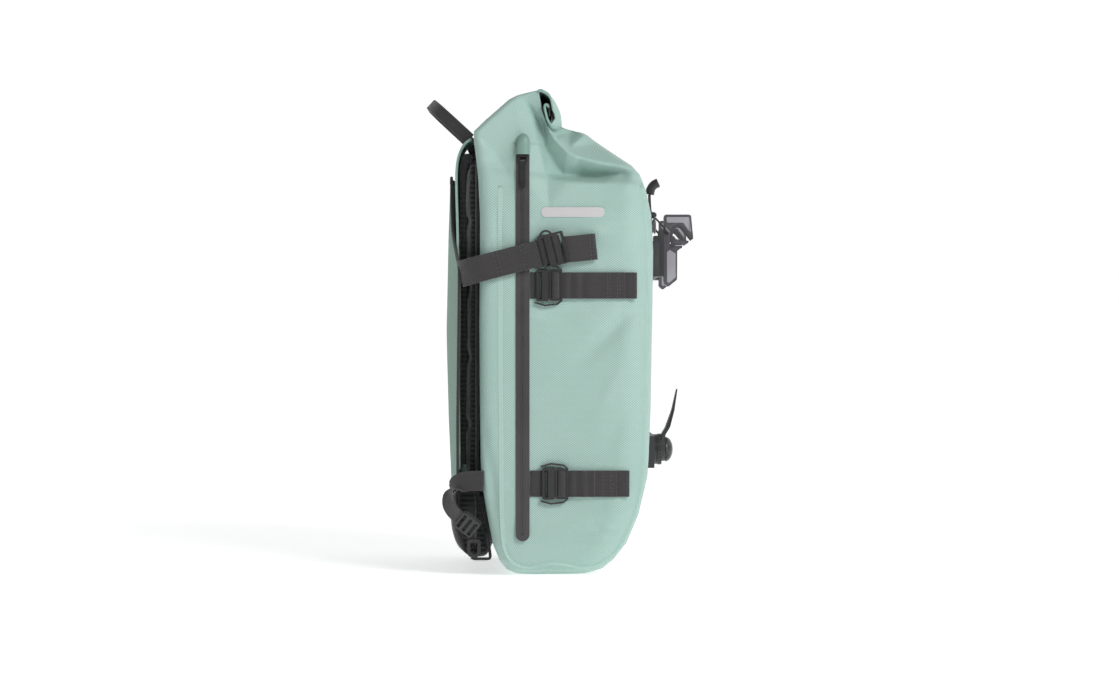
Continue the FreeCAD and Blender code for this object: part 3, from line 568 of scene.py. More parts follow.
# the fold net of the gathered top: x, z and how far the cloth falls in, in millimetres
topFolds = {
    "leftCorner": (-82, 424, 0), "leftSlope": (-62, 442, 1.5), "peak": (-42, 459, 1.5),
    "crest": (-19, 463, 1), "ridgeHigh": (-27, 439, 3.5), "ridgeMid": (-22, 420, 4.5),
    "ridgeLow": (-16, 397, 6), "dipHigh": (-32, 452, 5), "dipMid": (-16, 430, 15),
    "dipLow": (-12, 408, 20), "valleyTip": (-12, 381, 8), "foldA": (-18, 446, 4),
    "foldB": (-10.5, 427, 2.5), "foldC": (-3, 415, 2.5), "foldD": (7, 404.5, 3), "foldE": (18, 399, 3),
    "foldF": (40, 393, 2.5), "foldG": (70, 388.5, 2.5), "valleyA": (4, 383, 23),
    "valleyB": (22, 382.5, 30), "valleyC": (42, 383.5, 26), "valleyD": (60, 385, 15),
    "pocketA": (-3, 423, 20), "pocketB": (10, 421, 24), "creaseTop": (22, 421, 9),
    "creaseLow": (9, 409, 8), "slopeA": (30, 413, 16), "slopeB": (48, 402, 10), "slopeC": (62, 395, 7),
    "shoulder": (76, 384, 2), "underA": (8, 377, 3), "underB": (42, 376, 3.2), "underC": (68, 374, 1.6),
    "flatA": (-10, 350, 0), "flatB": (40, 348, 0), "flatC": (80, 350, 0), "leftFold": (-58, 398, 5.5),
    "leftFoldEnd": (-44, 376, 2), "leftLit": (-66, 402, 1), "leftUnder": (-78, 396, 0),
    "leftMid": (-50, 420, 1), "leftHigh": (-40, 440, 1), "zipTop": (-35, 414, 0.5),
    "zipMid": (-35, 380, 0.5), "flatD": (-40, 350, 0), "flatE": (-76, 350, 0), "farRight": (110, 350, 0),
    "farRightHigh": (110, 400, 20), "overRight": (60, 430, 40), "overRoll": (20, 440, 40),
    "farLeft": (-110, 350, 0), "farLeftHigh": (-110, 430, 0), "overLeft": (-60, 475, 2),
    "overCrest": (-10, 475, 2),
}
foldLines = [
    ("crest", "foldA"), ("foldA", "foldB"), ("foldB", "foldC"), ("foldC", "foldD"), ("foldD", "foldE"),
    ("foldE", "foldF"), ("foldF", "foldG"), ("foldG", "shoulder"), ("valleyTip", "valleyA"),
    ("valleyA", "valleyB"), ("valleyB", "valleyC"), ("valleyC", "valleyD"), ("peak", "ridgeHigh"),
    ("ridgeHigh", "ridgeMid"), ("ridgeMid", "ridgeLow"), ("dipHigh", "dipMid"), ("dipMid", "dipLow"),
    ("dipLow", "valleyTip"), ("leftCorner", "leftFold"), ("leftFold", "leftFoldEnd"),
    ("creaseTop", "creaseLow"), ("leftCorner", "leftSlope"), ("leftSlope", "peak"), ("peak", "crest"),
    ("dipHigh", "foldA"), ("creaseLow", "foldD"), ("valleyTip", "underA"), ("underA", "underB"),
    ("underB", "underC"), ("underC", "shoulder"),
]

# soft folds of the side walls: start, end (x, z), half width and depth in millimetres
wallFolds = [
    ((78, 262), (20, 205), 9, 2.2), ((70, 225), (34, 150), 8, -1.6), ((86, 300), (50, 235), 8, 1.8),
    ((74, 180), (46, 120), 10, 1.2), ((30, 45), (58, 43), 3, 2.6), ((60, 70), (40, 30), 7, -1.6),
    ((-67, 118), (-60, 48), 4.5, 3.0), ((-72, 150), (-68, 110), 4, 1.6), ((-50, 300), (-52, 130), 6, -0.8),
    ((70, 350), (20, 325), 8, -1.5), ((84, 335), (60, 300), 7, 1.6), ((-20, 30), (40, 20), 6, 1.4),
    ((20, 245), (70, 255), 8, -1.4), ((-15, 252), (30, 225), 8, 1.0), ((-10, 75), (50, 66), 6, 1.0),
    ((10, 330), (60, 305), 7, 1.2), ((-60, 350), (-56, 300), 5, 0.9),
]


def barycentric(p, a, b, c):
    v0, v1, v2 = b - a, c - a, p - a
    cross = v0[0] * v1[1] - v1[0] * v0[1]
    if abs(cross) < 1e-9:
        return None
    s = (v2[..., 0] * v1[1] - v1[0] * v2[..., 1]) / cross
    r = (v0[0] * v2[..., 1] - v2[..., 0] * v0[1]) / cross
    return 1 - s - r, s, r


def foldDepth(spots):
    # depth from flat facets hung between the net's points
    names = list(topFolds)
    flat = [Vector(topFolds[n][:2]) for n in names]
    lines = [(names.index(a), names.index(b)) for a, b in foldLines]
    verts, _, faces, origin, _, _ = geometry.delaunay_2d_cdt(flat, lines, [], 0, 0.01)
    deep = []
    for found in origin:
        deep.append(topFolds[names[found[0]]][2] if found else 5.0)
    depth = np.zeros(len(spots))
    for face in faces:
        a, b, c = (np.array(verts[i]) for i in face[:3])
        shares = barycentric(spots, a, b, c)
        if shares is None:
            continue
        inside = (shares[0] >= -1e-6) & (shares[1] >= -1e-6) & (shares[2] >= -1e-6)
        value = shares[0] * deep[face[0]] + shares[1] * deep[face[1]] + shares[2] * deep[face[2]]
        depth[inside] = value[inside]
    return depth


def wallDepth(spots):
    depth = np.zeros(len(spots))
    for start, end, half, deep in wallFolds:
        a, b = np.array(start, float), np.array(end, float)
        run = b - a
        share = np.clip(((spots - a) @ run) / (run @ run), 0, 1)
        away = np.linalg.norm(spots - (a + share[:, None] * run), axis=1)
        fade = np.sin(np.pi * np.clip(share * 0.9 + 0.05, 0, 1)) ** 0.6
        depth += deep * fade * np.exp(-(away / half) ** 2)
    return depth


def shellLevel(share):
    # the level at a share of the way up, eased between the two nearest
    levels = np.array(shell["levels"], float)
    climb = np.concatenate([[0], np.cumsum(np.linalg.norm(np.diff(levels[:, 0:4], axis=0), axis=1) + 1e-6)])
    place = share * climb[-1]
    return np.array([np.interp(place, climb, levels[:, k]) for k in range(8)])


def shellRing(level):
    # one closed ring: carrying panel, near side, rack panel, far side
    lx, lz, rx, rz, halfL, halfR, radL, radR = level
    steps, turns, panel = shell["sideSteps"], shell["cornerSteps"], shell["panelSteps"]
    span = math.hypot(rx - lx, rz - lz)
    radL = min(radL, span * 0.45)
    radR = min(radR, span * 0.45)
    flat = []
    for k in range(turns):
        a = math.pi / 2 * k / turns
        flat.append((radL - radL * math.cos(a), -halfL + radL - radL * math.sin(a)))
    slant = halfL - halfR
    for k in range(steps + 1):
        s = k / steps
        flat.append((radL + (span - radL - radR) * s, -halfL + slant * s))
    for k in range(1, turns + 1):
        a = math.pi / 2 * k / turns
        flat.append((span - radR + radR * math.sin(a), -halfR + radR - radR * math.cos(a)))
    for k in range(1, panel):
        flat.append((span, (-halfR + radR) * (1 - 2 * k / panel)))
    mirror = [(u, -y) for u, y in flat[:turns + steps + 1 + turns]][::-1]
    flat += mirror
    for k in range(1, panel):
        flat.append((0, (halfL - radL) * (1 - 2 * k / panel)))
    ux, uz = (rx - lx) / span, (rz - lz) / span
    return [(lx + ux * u, y, lz + uz * u) for u, y in flat]


def makeShell():
    rows = shell["rows"]
    grid = np.array([shellRing(shellLevel(k / rows)) for k in range(rows + 1)])
    count = grid.shape[1]
    flat = grid[:, :, [0, 2]].reshape(-1, 2)
    side = np.clip((np.abs(grid[:, :, 1]) - 100) / 30, 0, 1)
    side = side * side * (3 - 2 * side)
    fold = foldDepth(flat).reshape(rows + 1, count)
    fold = np.where(grid[:, :, 2] > 350, fold, 0)
    for _ in range(shell["soften"]):
        inner = fold.copy()
        inner[1:-1] = 0.5 * fold[1:-1] + 0.25 * (fold[:-2] + fold[2:])
        fold = 0.5 * inner + 0.25 * (np.roll(inner, 1, 1) + np.roll(inner, -1, 1))
    walls = wallDepth(flat).reshape(rows + 1, count)
    zipKeep = np.clip(1 - np.exp(-((grid[:, :, 0] + 35) / 11) ** 2) * (grid[:, :, 2] < 412), 0, 1)
    deep = (fold * (0.25 + 0.75 * zipKeep) + walls * zipKeep) * side
    deep = np.where(deep < 0, deep * 0.6, deep)
    grid[:, :, 1] -= np.sign(grid[:, :, 1]) * deep
    # slow swells, larger on the wide panels, and the side walls drawn in a little away from the zip
    for j in range(rows + 1):
        for i in range(count):
            x, y, z = grid[j, i]
            broad = noise.noise(Vector((x, y * 0.7, z * 0.6)) / 46)
            swell = broad + 0.5 * noise.noise(Vector((x, y, z)) / 19)
            calm = min(1, max(0, z / 30)) * (0.35 if z > 420 else 1)
            panel = 1 - side[j, i]
            if x > 30:
                grid[j, i, 0] += swell * 1.5 * calm * panel
            elif x < -60 and z < 420:
                grid[j, i, 0] += swell * 0.8 * calm * panel
            grid[j, i, 1] -= math.copysign(1, y) * (swell * 0.5 + 0.2) * calm * side[j, i] * zipKeep[j, i]
    grid *= mm
    bm, weave = clothMesh()
    rings = [[bm.verts.new(p) for p in ring] for ring in grid]
    around = np.concatenate([[0], np.cumsum(np.linalg.norm(np.diff(grid[rows // 2], axis=0), axis=1))])
    around = np.append(around, around[-1] + np.linalg.norm(grid[rows // 2][0] - grid[rows // 2][-1]))
    steps = np.linalg.norm(np.diff(grid[:, count // 4], axis=0), axis=1)
    climb = np.concatenate([[0], np.cumsum(steps)])
    for j in range(rows):
        for i in range(count):
            n = (i + 1) % count
            face = bm.faces.new((rings[j][i], rings[j][n], rings[j + 1][n], rings[j + 1][i]))
            marks = [(around[i], climb[j]), (around[i + 1], climb[j]),
                     (around[i + 1], climb[j + 1]), (around[i], climb[j + 1])]
            markFace(face, weave, marks)
    # rings that shrink to the middle close the bottom and the crest
    for ring, flip in ((rings[0], True), (rings[-1], False)):
        middle = sum((v.co for v in ring), Vector()) / len(ring)
        edge = ring
        for share in (0.97, 0.7, 0.4, 0.15):
            inner = [bm.verts.new(middle + (v.co - middle) * share) for v in ring]
            for i in range(count):
                n = (i + 1) % count
                under = (edge[i], inner[i], inner[n], edge[n])
                face = bm.faces.new(under if flip else (edge[i], edge[n], inner[n], inner[i]))
                markByPlace(face, weave, 0, 1)
            edge = inner
        bm.faces.new(edge if flip else edge[::-1]).smooth = True
    bmesh.ops.recalc_face_normals(bm, faces=bm.faces)
    bag = addMesh("shell", bm, smooth=True, material=mintTarp)
    return finishPiece(bag, "bag", ["body_shell"])


makeShell()
print("shell ready")


# rolled closure

roll = {
    # the rolled cloth's line in x, z from the crest over the rack side and in again
    "line": [(-20.6, 461.6), (-17.0, 462.6), (-9.5, 457.5), (-3.2, 449.0), (0.4, 439.5), (0.4, 431.0),
             (-3.0, 427.2), (-7.0, 428.0), (-10.4, 433.6), (-13.2, 441.0), (-14.9, 447.0), (-12.8, 449.8),
             (-9.8, 447.0)],
    "thick": 2.4, "centre": (-11.0, 440.0), "pull": 0.46, "half": 150.5, "slices": 75,
}


def makeRoll():
    line = evenSteps(smoothSteps([(x, 0, z) for x, z in roll["line"]]), 1.7)
    count = len(line)
    rows = []
    for k in range(roll["slices"]):
        y = -roll["half"] + 2 * roll["half"] * k / (roll["slices"] - 1)
        near = math.exp(-((abs(y) - roll["half"]) / 18) ** 2)
        tip = math.exp(-((abs(y) - roll["half"]) / 8) ** 2)
        heart = Vector((roll["centre"][0], 0, roll["centre"][1]))
        outer, inner = [], []
        for j, spot in enumerate(line):
            share = j / (count - 1)
            along = (line[min(j + 1, count - 1)] - line[max(j - 1, 0)]).normalized()
            out = Vector((-along.z, 0, along.x))
            sag = noise.noise(Vector((share * 5, y / 30, 3.1))) * (0.9 + 1.0 * near) * min(1, share * 5)
            flare = near * 1.1 * math.sin(share * 16) * min(1, share * 4)
            for part, half in ((outer, 0.5), (inner, -0.5)):
                here = spot + out * (roll["thick"] * half + sag * (0.5 + share * 0.4))
                drawn = min(1, max(0, share * 7 - 0.6)) * min(1, max(0, (spot.x - heart.x) / 9))
                here = here.lerp(heart, roll["pull"] * tip * drawn)
                shift = near * 2.2 * math.sin(share * 13 + 1) * min(1, share * 3)
                part.append(Vector((min(here.x + 0.3 * flare, 2.4), y - math.copysign(max(0, shift), y),
                                    min(max(here.z, 425.9), 464.0))))
        rows.append([p * mm for p in outer + inner[::-1]])
    bm, weave = clothMesh()
    rings = [[bm.verts.new(p) for p in row] for row in rows]
    total = 2 * count
    around = [0.0]
    middle = rows[roll["slices"] // 2]
    for a, b in zip(middle, middle[1:] + middle[:1]):
        around.append(around[-1] + (b - a).length)
    for k in range(roll["slices"] - 1):
        for j in range(total):
            n = (j + 1) % total
            face = bm.faces.new((rings[k][j], rings[k + 1][j], rings[k + 1][n], rings[k][n]))
            y0, y1 = rows[k][j].y, rows[k + 1][j].y
            marks = [(y0, around[j]), (y1, around[j]), (y1, around[j + 1]), (y0, around[j + 1])]
            markFace(face, weave, marks)
    for ring, flip in ((rings[0], False), (rings[-1], True)):
        for j in range(count - 1):
            quad = (ring[j], ring[j + 1], ring[total - 2 - j], ring[total - 1 - j])
            bm.faces.new(quad[::-1] if flip else quad)
    bmesh.ops.recalc_face_normals(bm, faces=bm.faces)
    piece = addMesh("rollTop", bm, smooth=True, material=mintTarp)
    return finishPiece(piece, "bag", ["roll_top"])


makeRoll()
print("roll ready")


# welded seams laid on the shell

seams = {
    "edge": [(-56.5, 372), (-56.5, 300), (-56.2, 200), (-55.5, 100), (-54.5, 50), (-51.5, 26), (-44, 14),
             (-30, 8.5), (-12, 12.5), (4, 12), (20, 8.5), (36, 11), (50, 20), (62, 38), (71, 62),
             (77.5, 95), (80, 150), (81.5, 220), (82.5, 290), (81, 345), (77, 372)],
    "width": 4.4, "thick": 0.5, "half": 150.0,
}


def onShell(x, z, sign):
    # the shell's outside at that x and z
    start = Vector((x * mm, sign * 0.2, z * mm))
    hit, place, _, _ = bpy.data.objects["shell"].ray_cast(start, Vector((0, -sign, 0)))
    return place / mm if hit else Vector((x, sign * seams["half"], z))


def makeSeams():
    for side, sign in sides:
        flat = evenSteps(smoothSteps([(x, 0, z) for x, z in seams["edge"]]), 4.0)
        line = [onShell(p.x, p.z, sign) * mm for p in flat]
        across = []
        for k, p in enumerate(flat):
            along = flat[min(k + 1, len(flat) - 1)] - flat[max(k - 1, 0)]
            across.append((along.z, 0, -along.x))
        ridge = sweep("weldSeam_" + side, line, across,
                      strapProfile(seams["width"] * mm, seams["thick"] * mm), weldSeam)
        finishPiece(ridge, "bag")


makeSeams()
print("seams ready")


# repeated small things

def socketId(group, name):
    return next(item.identifier for item in group.interface.items_tree if item.name == name)


def beadGroup(name, gap, sizes, paintName, segments, follow=False):
    # small rounded beads a steady gap apart along every edge of the guide lines
    group = bpy.data.node_groups.new(name, "GeometryNodeTree")
    face = group.interface
    face.new_socket("Geometry", in_out="INPUT", socket_type="NodeSocketGeometry")
    for label in dict.fromkeys((gap, *sizes)):
        face.new_socket(label, in_out="INPUT", socket_type="NodeSocketFloat")
    face.new_socket(paintName, in_out="INPUT", socket_type="NodeSocketMaterial")
    face.new_socket("Geometry", in_out="OUTPUT", socket_type="NodeSocketGeometry")
    n = group.nodes
    entry, leave = n.new("NodeGroupInput"), n.new("NodeGroupOutput")
    curve, even = n.new("GeometryNodeMeshToCurve"), n.new("GeometryNodeResampleCurve")
    even.mode = "LENGTH"
    bead = n.new("GeometryNodeMeshUVSphere")
    bead.inputs["Segments"].default_value = segments
    bead.inputs["Rings"].default_value = 4
    bead.inputs["Radius"].default_value = 0.5
    size, shape = n.new("ShaderNodeCombineXYZ"), n.new("GeometryNodeTransform")
    place, real = n.new("GeometryNodeInstanceOnPoints"), n.new("GeometryNodeRealizeInstances")
    smooth, paint = n.new("GeometryNodeSetShadeSmooth"), n.new("GeometryNodeSetMaterial")
    joins = [(entry.outputs[label], size.inputs[k]) for k, label in enumerate(sizes)]
    joins += [
        (entry.outputs["Geometry"], curve.inputs[0]), (curve.outputs[0], even.inputs["Curve"]),
        (entry.outputs[gap], even.inputs["Length"]), (size.outputs[0], shape.inputs["Scale"]),
        (bead.outputs[0], shape.inputs["Geometry"]), (even.outputs[0], place.inputs["Points"]),
        (shape.outputs[0], place.inputs["Instance"]), (place.outputs[0], real.inputs[0]),
        (real.outputs[0], smooth.inputs[0]), (smooth.outputs[0], paint.inputs["Geometry"]),
        (entry.outputs[paintName], paint.inputs["Material"]), (paint.outputs[0], leave.inputs[0]),
    ]
    if follow:
        # each bead lies along the line and differs a little in size
        tangent, turn = n.new("GeometryNodeInputTangent"), n.new("FunctionNodeAlignRotationToVector")
        turn.axis = "Z"
        shiver = n.new("FunctionNodeRandomValue")
        shiver.data_type = "FLOAT_VECTOR"
        shiver.inputs[0].default_value = (0.9, 0.9, 0.9)
        shiver.inputs[1].default_value = (1.1, 1.1, 1.1)
        shiver.inputs["Seed"].default_value = 7
        joins += [(tangent.outputs[0], turn.inputs["Vector"]), (turn.outputs[0], place.inputs["Rotation"]),
                  (shiver.outputs[0], place.inputs["Scale"])]
    for start, end in joins:
        group.links.new(start, end)
    return group


def addBeads(guide, group, values):
    beads = guide.modifiers.new("beads", "NODES")
    beads.node_group = group
    for label, value in values.items():
        beads[socketId(group, label)] = value
    return bake(guide)


stitchTree = beadGroup("stitchRow", "Spacing", ("Thickness", "Thickness", "Length"), "Thread", 6, follow=True)


def stitchRows(name, lines, body, thread=None, spacing=3.2, length=2.3, thick=0.45):
    # lines hold points in millimetres; one mesh of stitches for the body they ride on
    bm = bmesh.new()
    for line in lines:
        verts = [bm.verts.new(Vector(p) * mm) for p in line]
        for a, b in zip(verts, verts[1:]):
            bm.edges.new((a, b))
    guide = addMesh(name, bm)
    addBeads(guide, stitchTree, {"Spacing": spacing * mm, "Length": length * mm, "Thickness": thick * mm,
                                 "Thread": thread or threadBlack})
    if not guide.data.materials:
        guide.data.materials.append(thread or threadBlack)
    return finishPiece(guide, body)


# side zip, garage and stripes

zipSizes = {"x": -35.0, "half": 6.5, "low": 34.0, "high": 412.0, "wall": 150.1, "thick": 1.0,
            "lipDepth": 151.15, "lipGap": 1.05, "coilDepth": 151.02, "coilTop": 400.0}


def slabOutline(x0, x1, z0, z1, rLow, rHigh, steps=8):
    outline = []
    for cx, cz, r, start in ((x1 - rHigh, z1 - rHigh, rHigh, 0), (x0 + rHigh, z1 - rHigh, rHigh, 90),
                             (x0 + rLow, z0 + rLow, rLow, 180), (x1 - rLow, z0 + rLow, rLow, 270)):
        for k in range(steps + 1):
            a = math.radians(start + 90 * k / steps)
            outline.append((cx + r * math.cos(a), cz + r * math.sin(a)))
    return outline


def filmPatch(name, outline, depth, thick, material, sign=-1):
    # a thin film with eased edges, standing on the wall at that depth to one side
    bm, weave = clothMesh()
    cx = sum(p[0] for p in outline) / len(outline)
    cz = sum(p[1] for p in outline) / len(outline)
    rings = []
    for inset, lift in ((0, 0), (0, thick * 0.6), (0.3, thick * 0.92), (0.8, thick)):
        ring = []
        for x, z in outline:
            away = Vector((x - cx, z - cz))
            scale = max(0, 1 - inset / max(away.length, 1e-6))
            ring.append(bm.verts.new(Vector((cx + away.x * scale, sign * (depth + lift),
                                             cz + away.y * scale)) * mm))
        rings.append(ring)
    count = len(outline)
    for low, high in zip(rings, rings[1:]):
        for j in range(count):
            n = (j + 1) % count
            bm.faces.new((low[j], low[n], high[n], high[j]))
    bm.faces.new(rings[0][::-1])
    bm.faces.new(rings[-1])
    for face in bm.faces:
        markByPlace(face, weave, 2, 0)
    bmesh.ops.recalc_face_normals(bm, faces=bm.faces)
    return addMesh(name, bm, material=material)


def makeZip():
    z = zipSizes
    left = slabOutline(z["x"] - z["half"], z["x"] + z["half"], z["low"], z["high"], 6.4, 1)
    tape = filmPatch("zipTape", left, z["wall"], z["thick"], zipTape)
    finishPiece(tape, "bag", ["zip_tape"])
    # the two folded lips that meet over the coil
    for side in (-1, 1):
        heights = np.linspace(z["low"] + 6, z["high"] - 1, 60)
        line = [Vector((z["x"] + side * z["lipGap"], -z["lipDepth"], h)) * mm for h in heights]
        lip = sweep("zipLip_" + ("left" if side < 0 else "right"), line, Vector((1, 0, 0)),
                    strapProfile(1.9 * mm, 0.5 * mm), zipTape)
        finishPiece(lip, "bag")
    bm = bmesh.new()
    ends = [bm.verts.new(Vector((z["x"], -z["coilDepth"], h)) * mm) for h in (z["low"] + 7, z["coilTop"])]
    bm.edges.new(ends)
    teeth = addMesh("zipCoil", bm)
    tree = beadGroup("zipTeeth", "Pitch", ("Width", "Height", "Height"), "Nylon", 8)
    addBeads(teeth, tree, {"Pitch": 0.0015, "Width": 0.0011, "Height": 0.0009, "Nylon": coilNylon})
    finishPiece(teeth, "bag", ["zip_coil"])


garage = {"x": -35.0, "half": 6.4, "low": 401.5, "high": 419.0, "rise": 6.0}


def makeGarage():
    # a moulded cloth hood over the slider, open at the bottom
    bm, weave = clothMesh()
    rows, steps = 16, 18
    grid = []
    for j in range(rows + 1):
        t = j / rows
        z = garage["low"] + (garage["high"] + 2 - garage["low"]) * t
        close = math.sqrt(max(0.0, 1 - max(0, (t - 0.45) / 0.55) ** 2.4))
        row = []
        for i in range(steps + 1):
            a = math.pi * i / steps
            x = garage["x"] + 0.6 * t - (garage["half"] - 0.9 * t) * math.cos(a) * (0.2 + 0.8 * close)
            lift = garage["rise"] * math.sin(a) ** 0.55 * (0.12 + 0.88 * close)
            row.append(bm.verts.new(Vector((x, -150.3 - lift, z)) * mm))
        grid.append(row)
    for j in range(rows):
        for i in range(steps):
            face = bm.faces.new((grid[j][i], grid[j][i + 1], grid[j + 1][i + 1], grid[j + 1][i]))
            markByPlace(face, weave, 0, 2)
    bmesh.ops.recalc_face_normals(bm, faces=bm.faces)
    hood = addMesh("zipGarage", bm, smooth=True, material=garageFilm)
    wall = hood.modifiers.new("wall", "SOLIDIFY")
    wall.thickness, wall.offset = 0.9 * mm, 0
    finishPiece(bake(hood), "bag", ["zip_garage"])


stripe = {"left": -17.5, "right": 42.5, "low": 342, "high": 351.5, "corner": 4.6, "wall": 150.15,
          "thick": 0.35}


def makeStripes():
    s = stripe
    outline = slabOutline(s["left"], s["right"], s["low"], s["high"], s["corner"], s["corner"])
    near = filmPatch("stripeNear", outline, s["wall"], s["thick"], reflective)
    far = filmPatch("stripeFar", outline, s["wall"], s["thick"], reflective, sign=1)
    finishPiece(near, "bag", ["reflective_stripes"])
    finishPiece(far, "bag")


makeZip()
makeGarage()
makeStripes()
print("zip, garage and stripes ready")


# straps across the sides

def turned(point, centre, degrees):
    a = math.radians(degrees)
    x, z = point[0] - centre[0], point[2] - centre[1]
    return (centre[0] + x * math.cos(a) - z * math.sin(a), point[1],
            centre[1] + x * math.sin(a) + z * math.cos(a))


def sided(points, sign):
    return [(p[0], p[1] * -sign, p[2]) for p in points]


flapStrap = {"x": -5.7, "z": 311.0, "tilt": 14.5, "width": 25.0, "thick": 1.6}
sideStraps = {
    "upper": {"split": -10.0, "z": 277.0, "right": 73.6, "tail": 62.0},
    "lower": {"split": -4.3, "z": 88.8, "right": 66.4, "tail": 54.0},
}
sideWeb = {"left": -27.8, "sewn": -151.0, "over": -152.75, "bar": -155.5, "width": 25.0, "thick": 1.6}


def upAcross(degrees):
    return turned((0, 0, 1), (0, 0), degrees)


def makeFlapStrap(side, sign):
    f = flapStrap
    front = [(-97.5, -136.5, f["z"]), (-94, -144.5, f["z"]), (-86, -152.5, f["z"]), (-76, -156.6, f["z"]),
             (-60, -156.9, f["z"]), (-40, -156.4, f["z"]), (-20, -157, f["z"]),
             (f["x"] - 8.5, -156.8, f["z"]), (f["x"] + 8, -156.2, f["z"])]
    front = sided([turned(p, (f["x"], f["z"]), f["tilt"]) for p in front], sign)
    webbing("flapStrapFront_" + side, front, upAcross(f["tilt"]), f["width"], f["thick"],
            "cover_flap", gap=2.5)
    tail = [(f["x"] + 8.2, -157.1, f["z"] - 0.5), (14, -157.3, f["z"] - 0.3), (24, -156.4, f["z"] + 0.2),
            (35, -154.9, f["z"] + 0.8)]
    webbing("flapStrapTail_" + side, sided([turned(p, (f["x"], f["z"]), 3) for p in tail], sign),
            upAcross(3), f["width"], f["thick"], "cover_flap",
            ["flap_strap_" + side], gap=2.5)
    # the tail's turned-back end and the bar tack rows
    lines = []
    for x in (29.6, 32.4):
        lines.append([(x, -156.6, f["z"] - 10.5), (x, -156.6, f["z"] + 11)])
    lines = [sided([turned(p, (f["x"], f["z"]), 3) for p in line], sign) for line in lines]
    for x in (-62, -58.5, -36, -33):
        line = [(x, -157.95, f["z"] - 11), (x, -157.95, f["z"] + 11)]
        lines.append(sided([turned(p, (f["x"], f["z"]), f["tilt"]) for p in line], sign))
    stitchRows("flapStrapStitches_" + side, lines, "cover_flap")


def makeSideStrap(side, sign, level):
    cut, w = sideStraps[level], sideWeb
    split, z = cut["split"], cut["z"]
    up = (0, 0, 1)
    left = [(w["left"], w["sewn"] - 0.1, z), (split - 14, w["sewn"] - 0.1, z),
            (split - 8.3, w["sewn"] - 0.2, z)]
    right = [(split - 7.6, w["sewn"] + 0.3, z), (split + 30, w["sewn"], z),
             (split + 50, w["sewn"] - 0.1, z), (cut["right"], w["sewn"], z)]
    webbing(f"{level}WebLeft_{side}", sided(left, sign), up, w["width"], w["thick"], "bag",
            soft=False)
    webbing(f"{level}WebRight_{side}", sided(right, sign), up, w["width"], w["thick"], "bag",
            ["side_webs_" + side] if level == "upper" else (), soft=False)
    tail = [(split + 3.9, w["over"] - 0.3, z), (split + 3.9, w["bar"] + 0.2, z),
            (split + 5.2, w["bar"] - 0.25, z), (split + 7.8, w["bar"] - 0.25, z),
            (split + 9.1, w["bar"] + 0.4, z), (split + 9.3, w["over"] - 0.4, z),
            (split + 12.5, w["over"] - 0.1, z), (split + 17, w["over"] - 1.7, z),
            (split + 21, w["over"] - 0.2, z), (split + 27, w["over"] - 1.9, z),
            (split + 32, w["over"] - 0.1, z), (split + 38, w["over"] - 1.2, z),
            (cut["tail"] - 22, w["over"], z), (cut["tail"] - 12, w["over"] - 0.2, z),
            (cut["tail"] + 0.8, w["over"], z)]
    clipBody = f"{level}_clip_{side}"
    webbing(f"{level}Tail_{side}", sided(tail, sign), up, w["width"], w["thick"], clipBody,
            [f"{level}_tail_{side}"], gap=1.4)
    # elastic keepers wrap the tail, sewn in places with two rows each
    marks = [0.74, 0.9] if level == "upper" else [0.72, 0.9]
    lines = []
    for share in marks:
        x = split + 14 + (cut["tail"] - split - 14) * share
        for shift in (-1.1, 1.1):
            lines.append([(x + shift, w["over"] - 0.95, z - 10.8), (x + shift, w["over"] - 0.95, z + 10.8)])
    stitchRows(f"{level}TailStitches_{side}", [sided(line, sign) for line in lines], clipBody)
    sewn = []
    for x in (cut["right"] - 2.2, cut["right"] - 5.6):
        sewn.append([(x, w["sewn"] - 0.66, z - 11), (x, w["sewn"] - 0.66, z + 11)])
    for x in (w["left"] + 2, w["left"] + 4.6):
        sewn.append([(x, w["sewn"] - 0.66, z - 11), (x, w["sewn"] - 0.66, z + 11)])
    stitchRows(f"{level}SewnStitches_{side}", [sided(line, sign) for line in sewn], "bag")


for side, sign in sides:
    makeFlapStrap(side, sign)
    for level in sideStraps:
        makeSideStrap(side, sign, level)
print("straps ready")


# cover flap and its binding

flap = {
    # height, x at the middle, x at the side edges
    "levels": [(84.5, -107.5, -97.5), (150, -110.5, -97.5), (235, -112.5, -96.5), (330, -110.5, -95.5),
               (386, -108.5, -95)],
    "outline": [(-138, 84.5), (138, 84.5), (138, 296), (92, 330), (50, 384), (-50, 384), (-92, 330),
                (-138, 296)],
    "round": [6, 6, 14, 40, 12, 12, 40, 14], "thick": 1.5, "bind": 3.4, "bindThick": 2.6, "mesh": 4.0,
}


def roundedOutline(points, radii, steps=8):
    line = []
    count = len(points)
    for i in range(count):
        here = Vector(points[i])
        back = (Vector(points[i - 1]) - here).normalized()
        ahead = (Vector(points[(i + 1) % count]) - here).normalized()
        half = back.angle(ahead) / 2
        run = radii[i] / math.tan(half)
        centre = here + (back + ahead).normalized() * (radii[i] / math.sin(half))
        start, end = here + back * run - centre, here + ahead * run - centre
        sweepAngle = math.atan2(start.x * end.y - start.y * end.x, start.dot(end))
        for k in range(steps + 1):
            a = sweepAngle * k / steps
            line.append(centre + Vector((start.x * math.cos(a) - start.y * math.sin(a),
                                         start.x * math.sin(a) + start.y * math.cos(a))))
    return line


def flapX(y, z):
    heights = [level[0] for level in flap["levels"]]
    middle = np.interp(z, heights, [level[1] for level in flap["levels"]])
    edge = np.interp(z, heights, [level[2] for level in flap["levels"]])
    return middle + (edge - middle) * min(1, (y / 140) ** 2)


def flapRipple(y, z):
    # slack between the strap pulls
    pull = math.exp(-((abs(y) - 138) / 40) ** 2 - ((z - 300) / 50) ** 2)
    return 0.9 * noise.noise(Vector((0, y / 52, z / 70))) * (1 - 0.6 * pull) + 1.1 * pull * math.sin(z / 11)


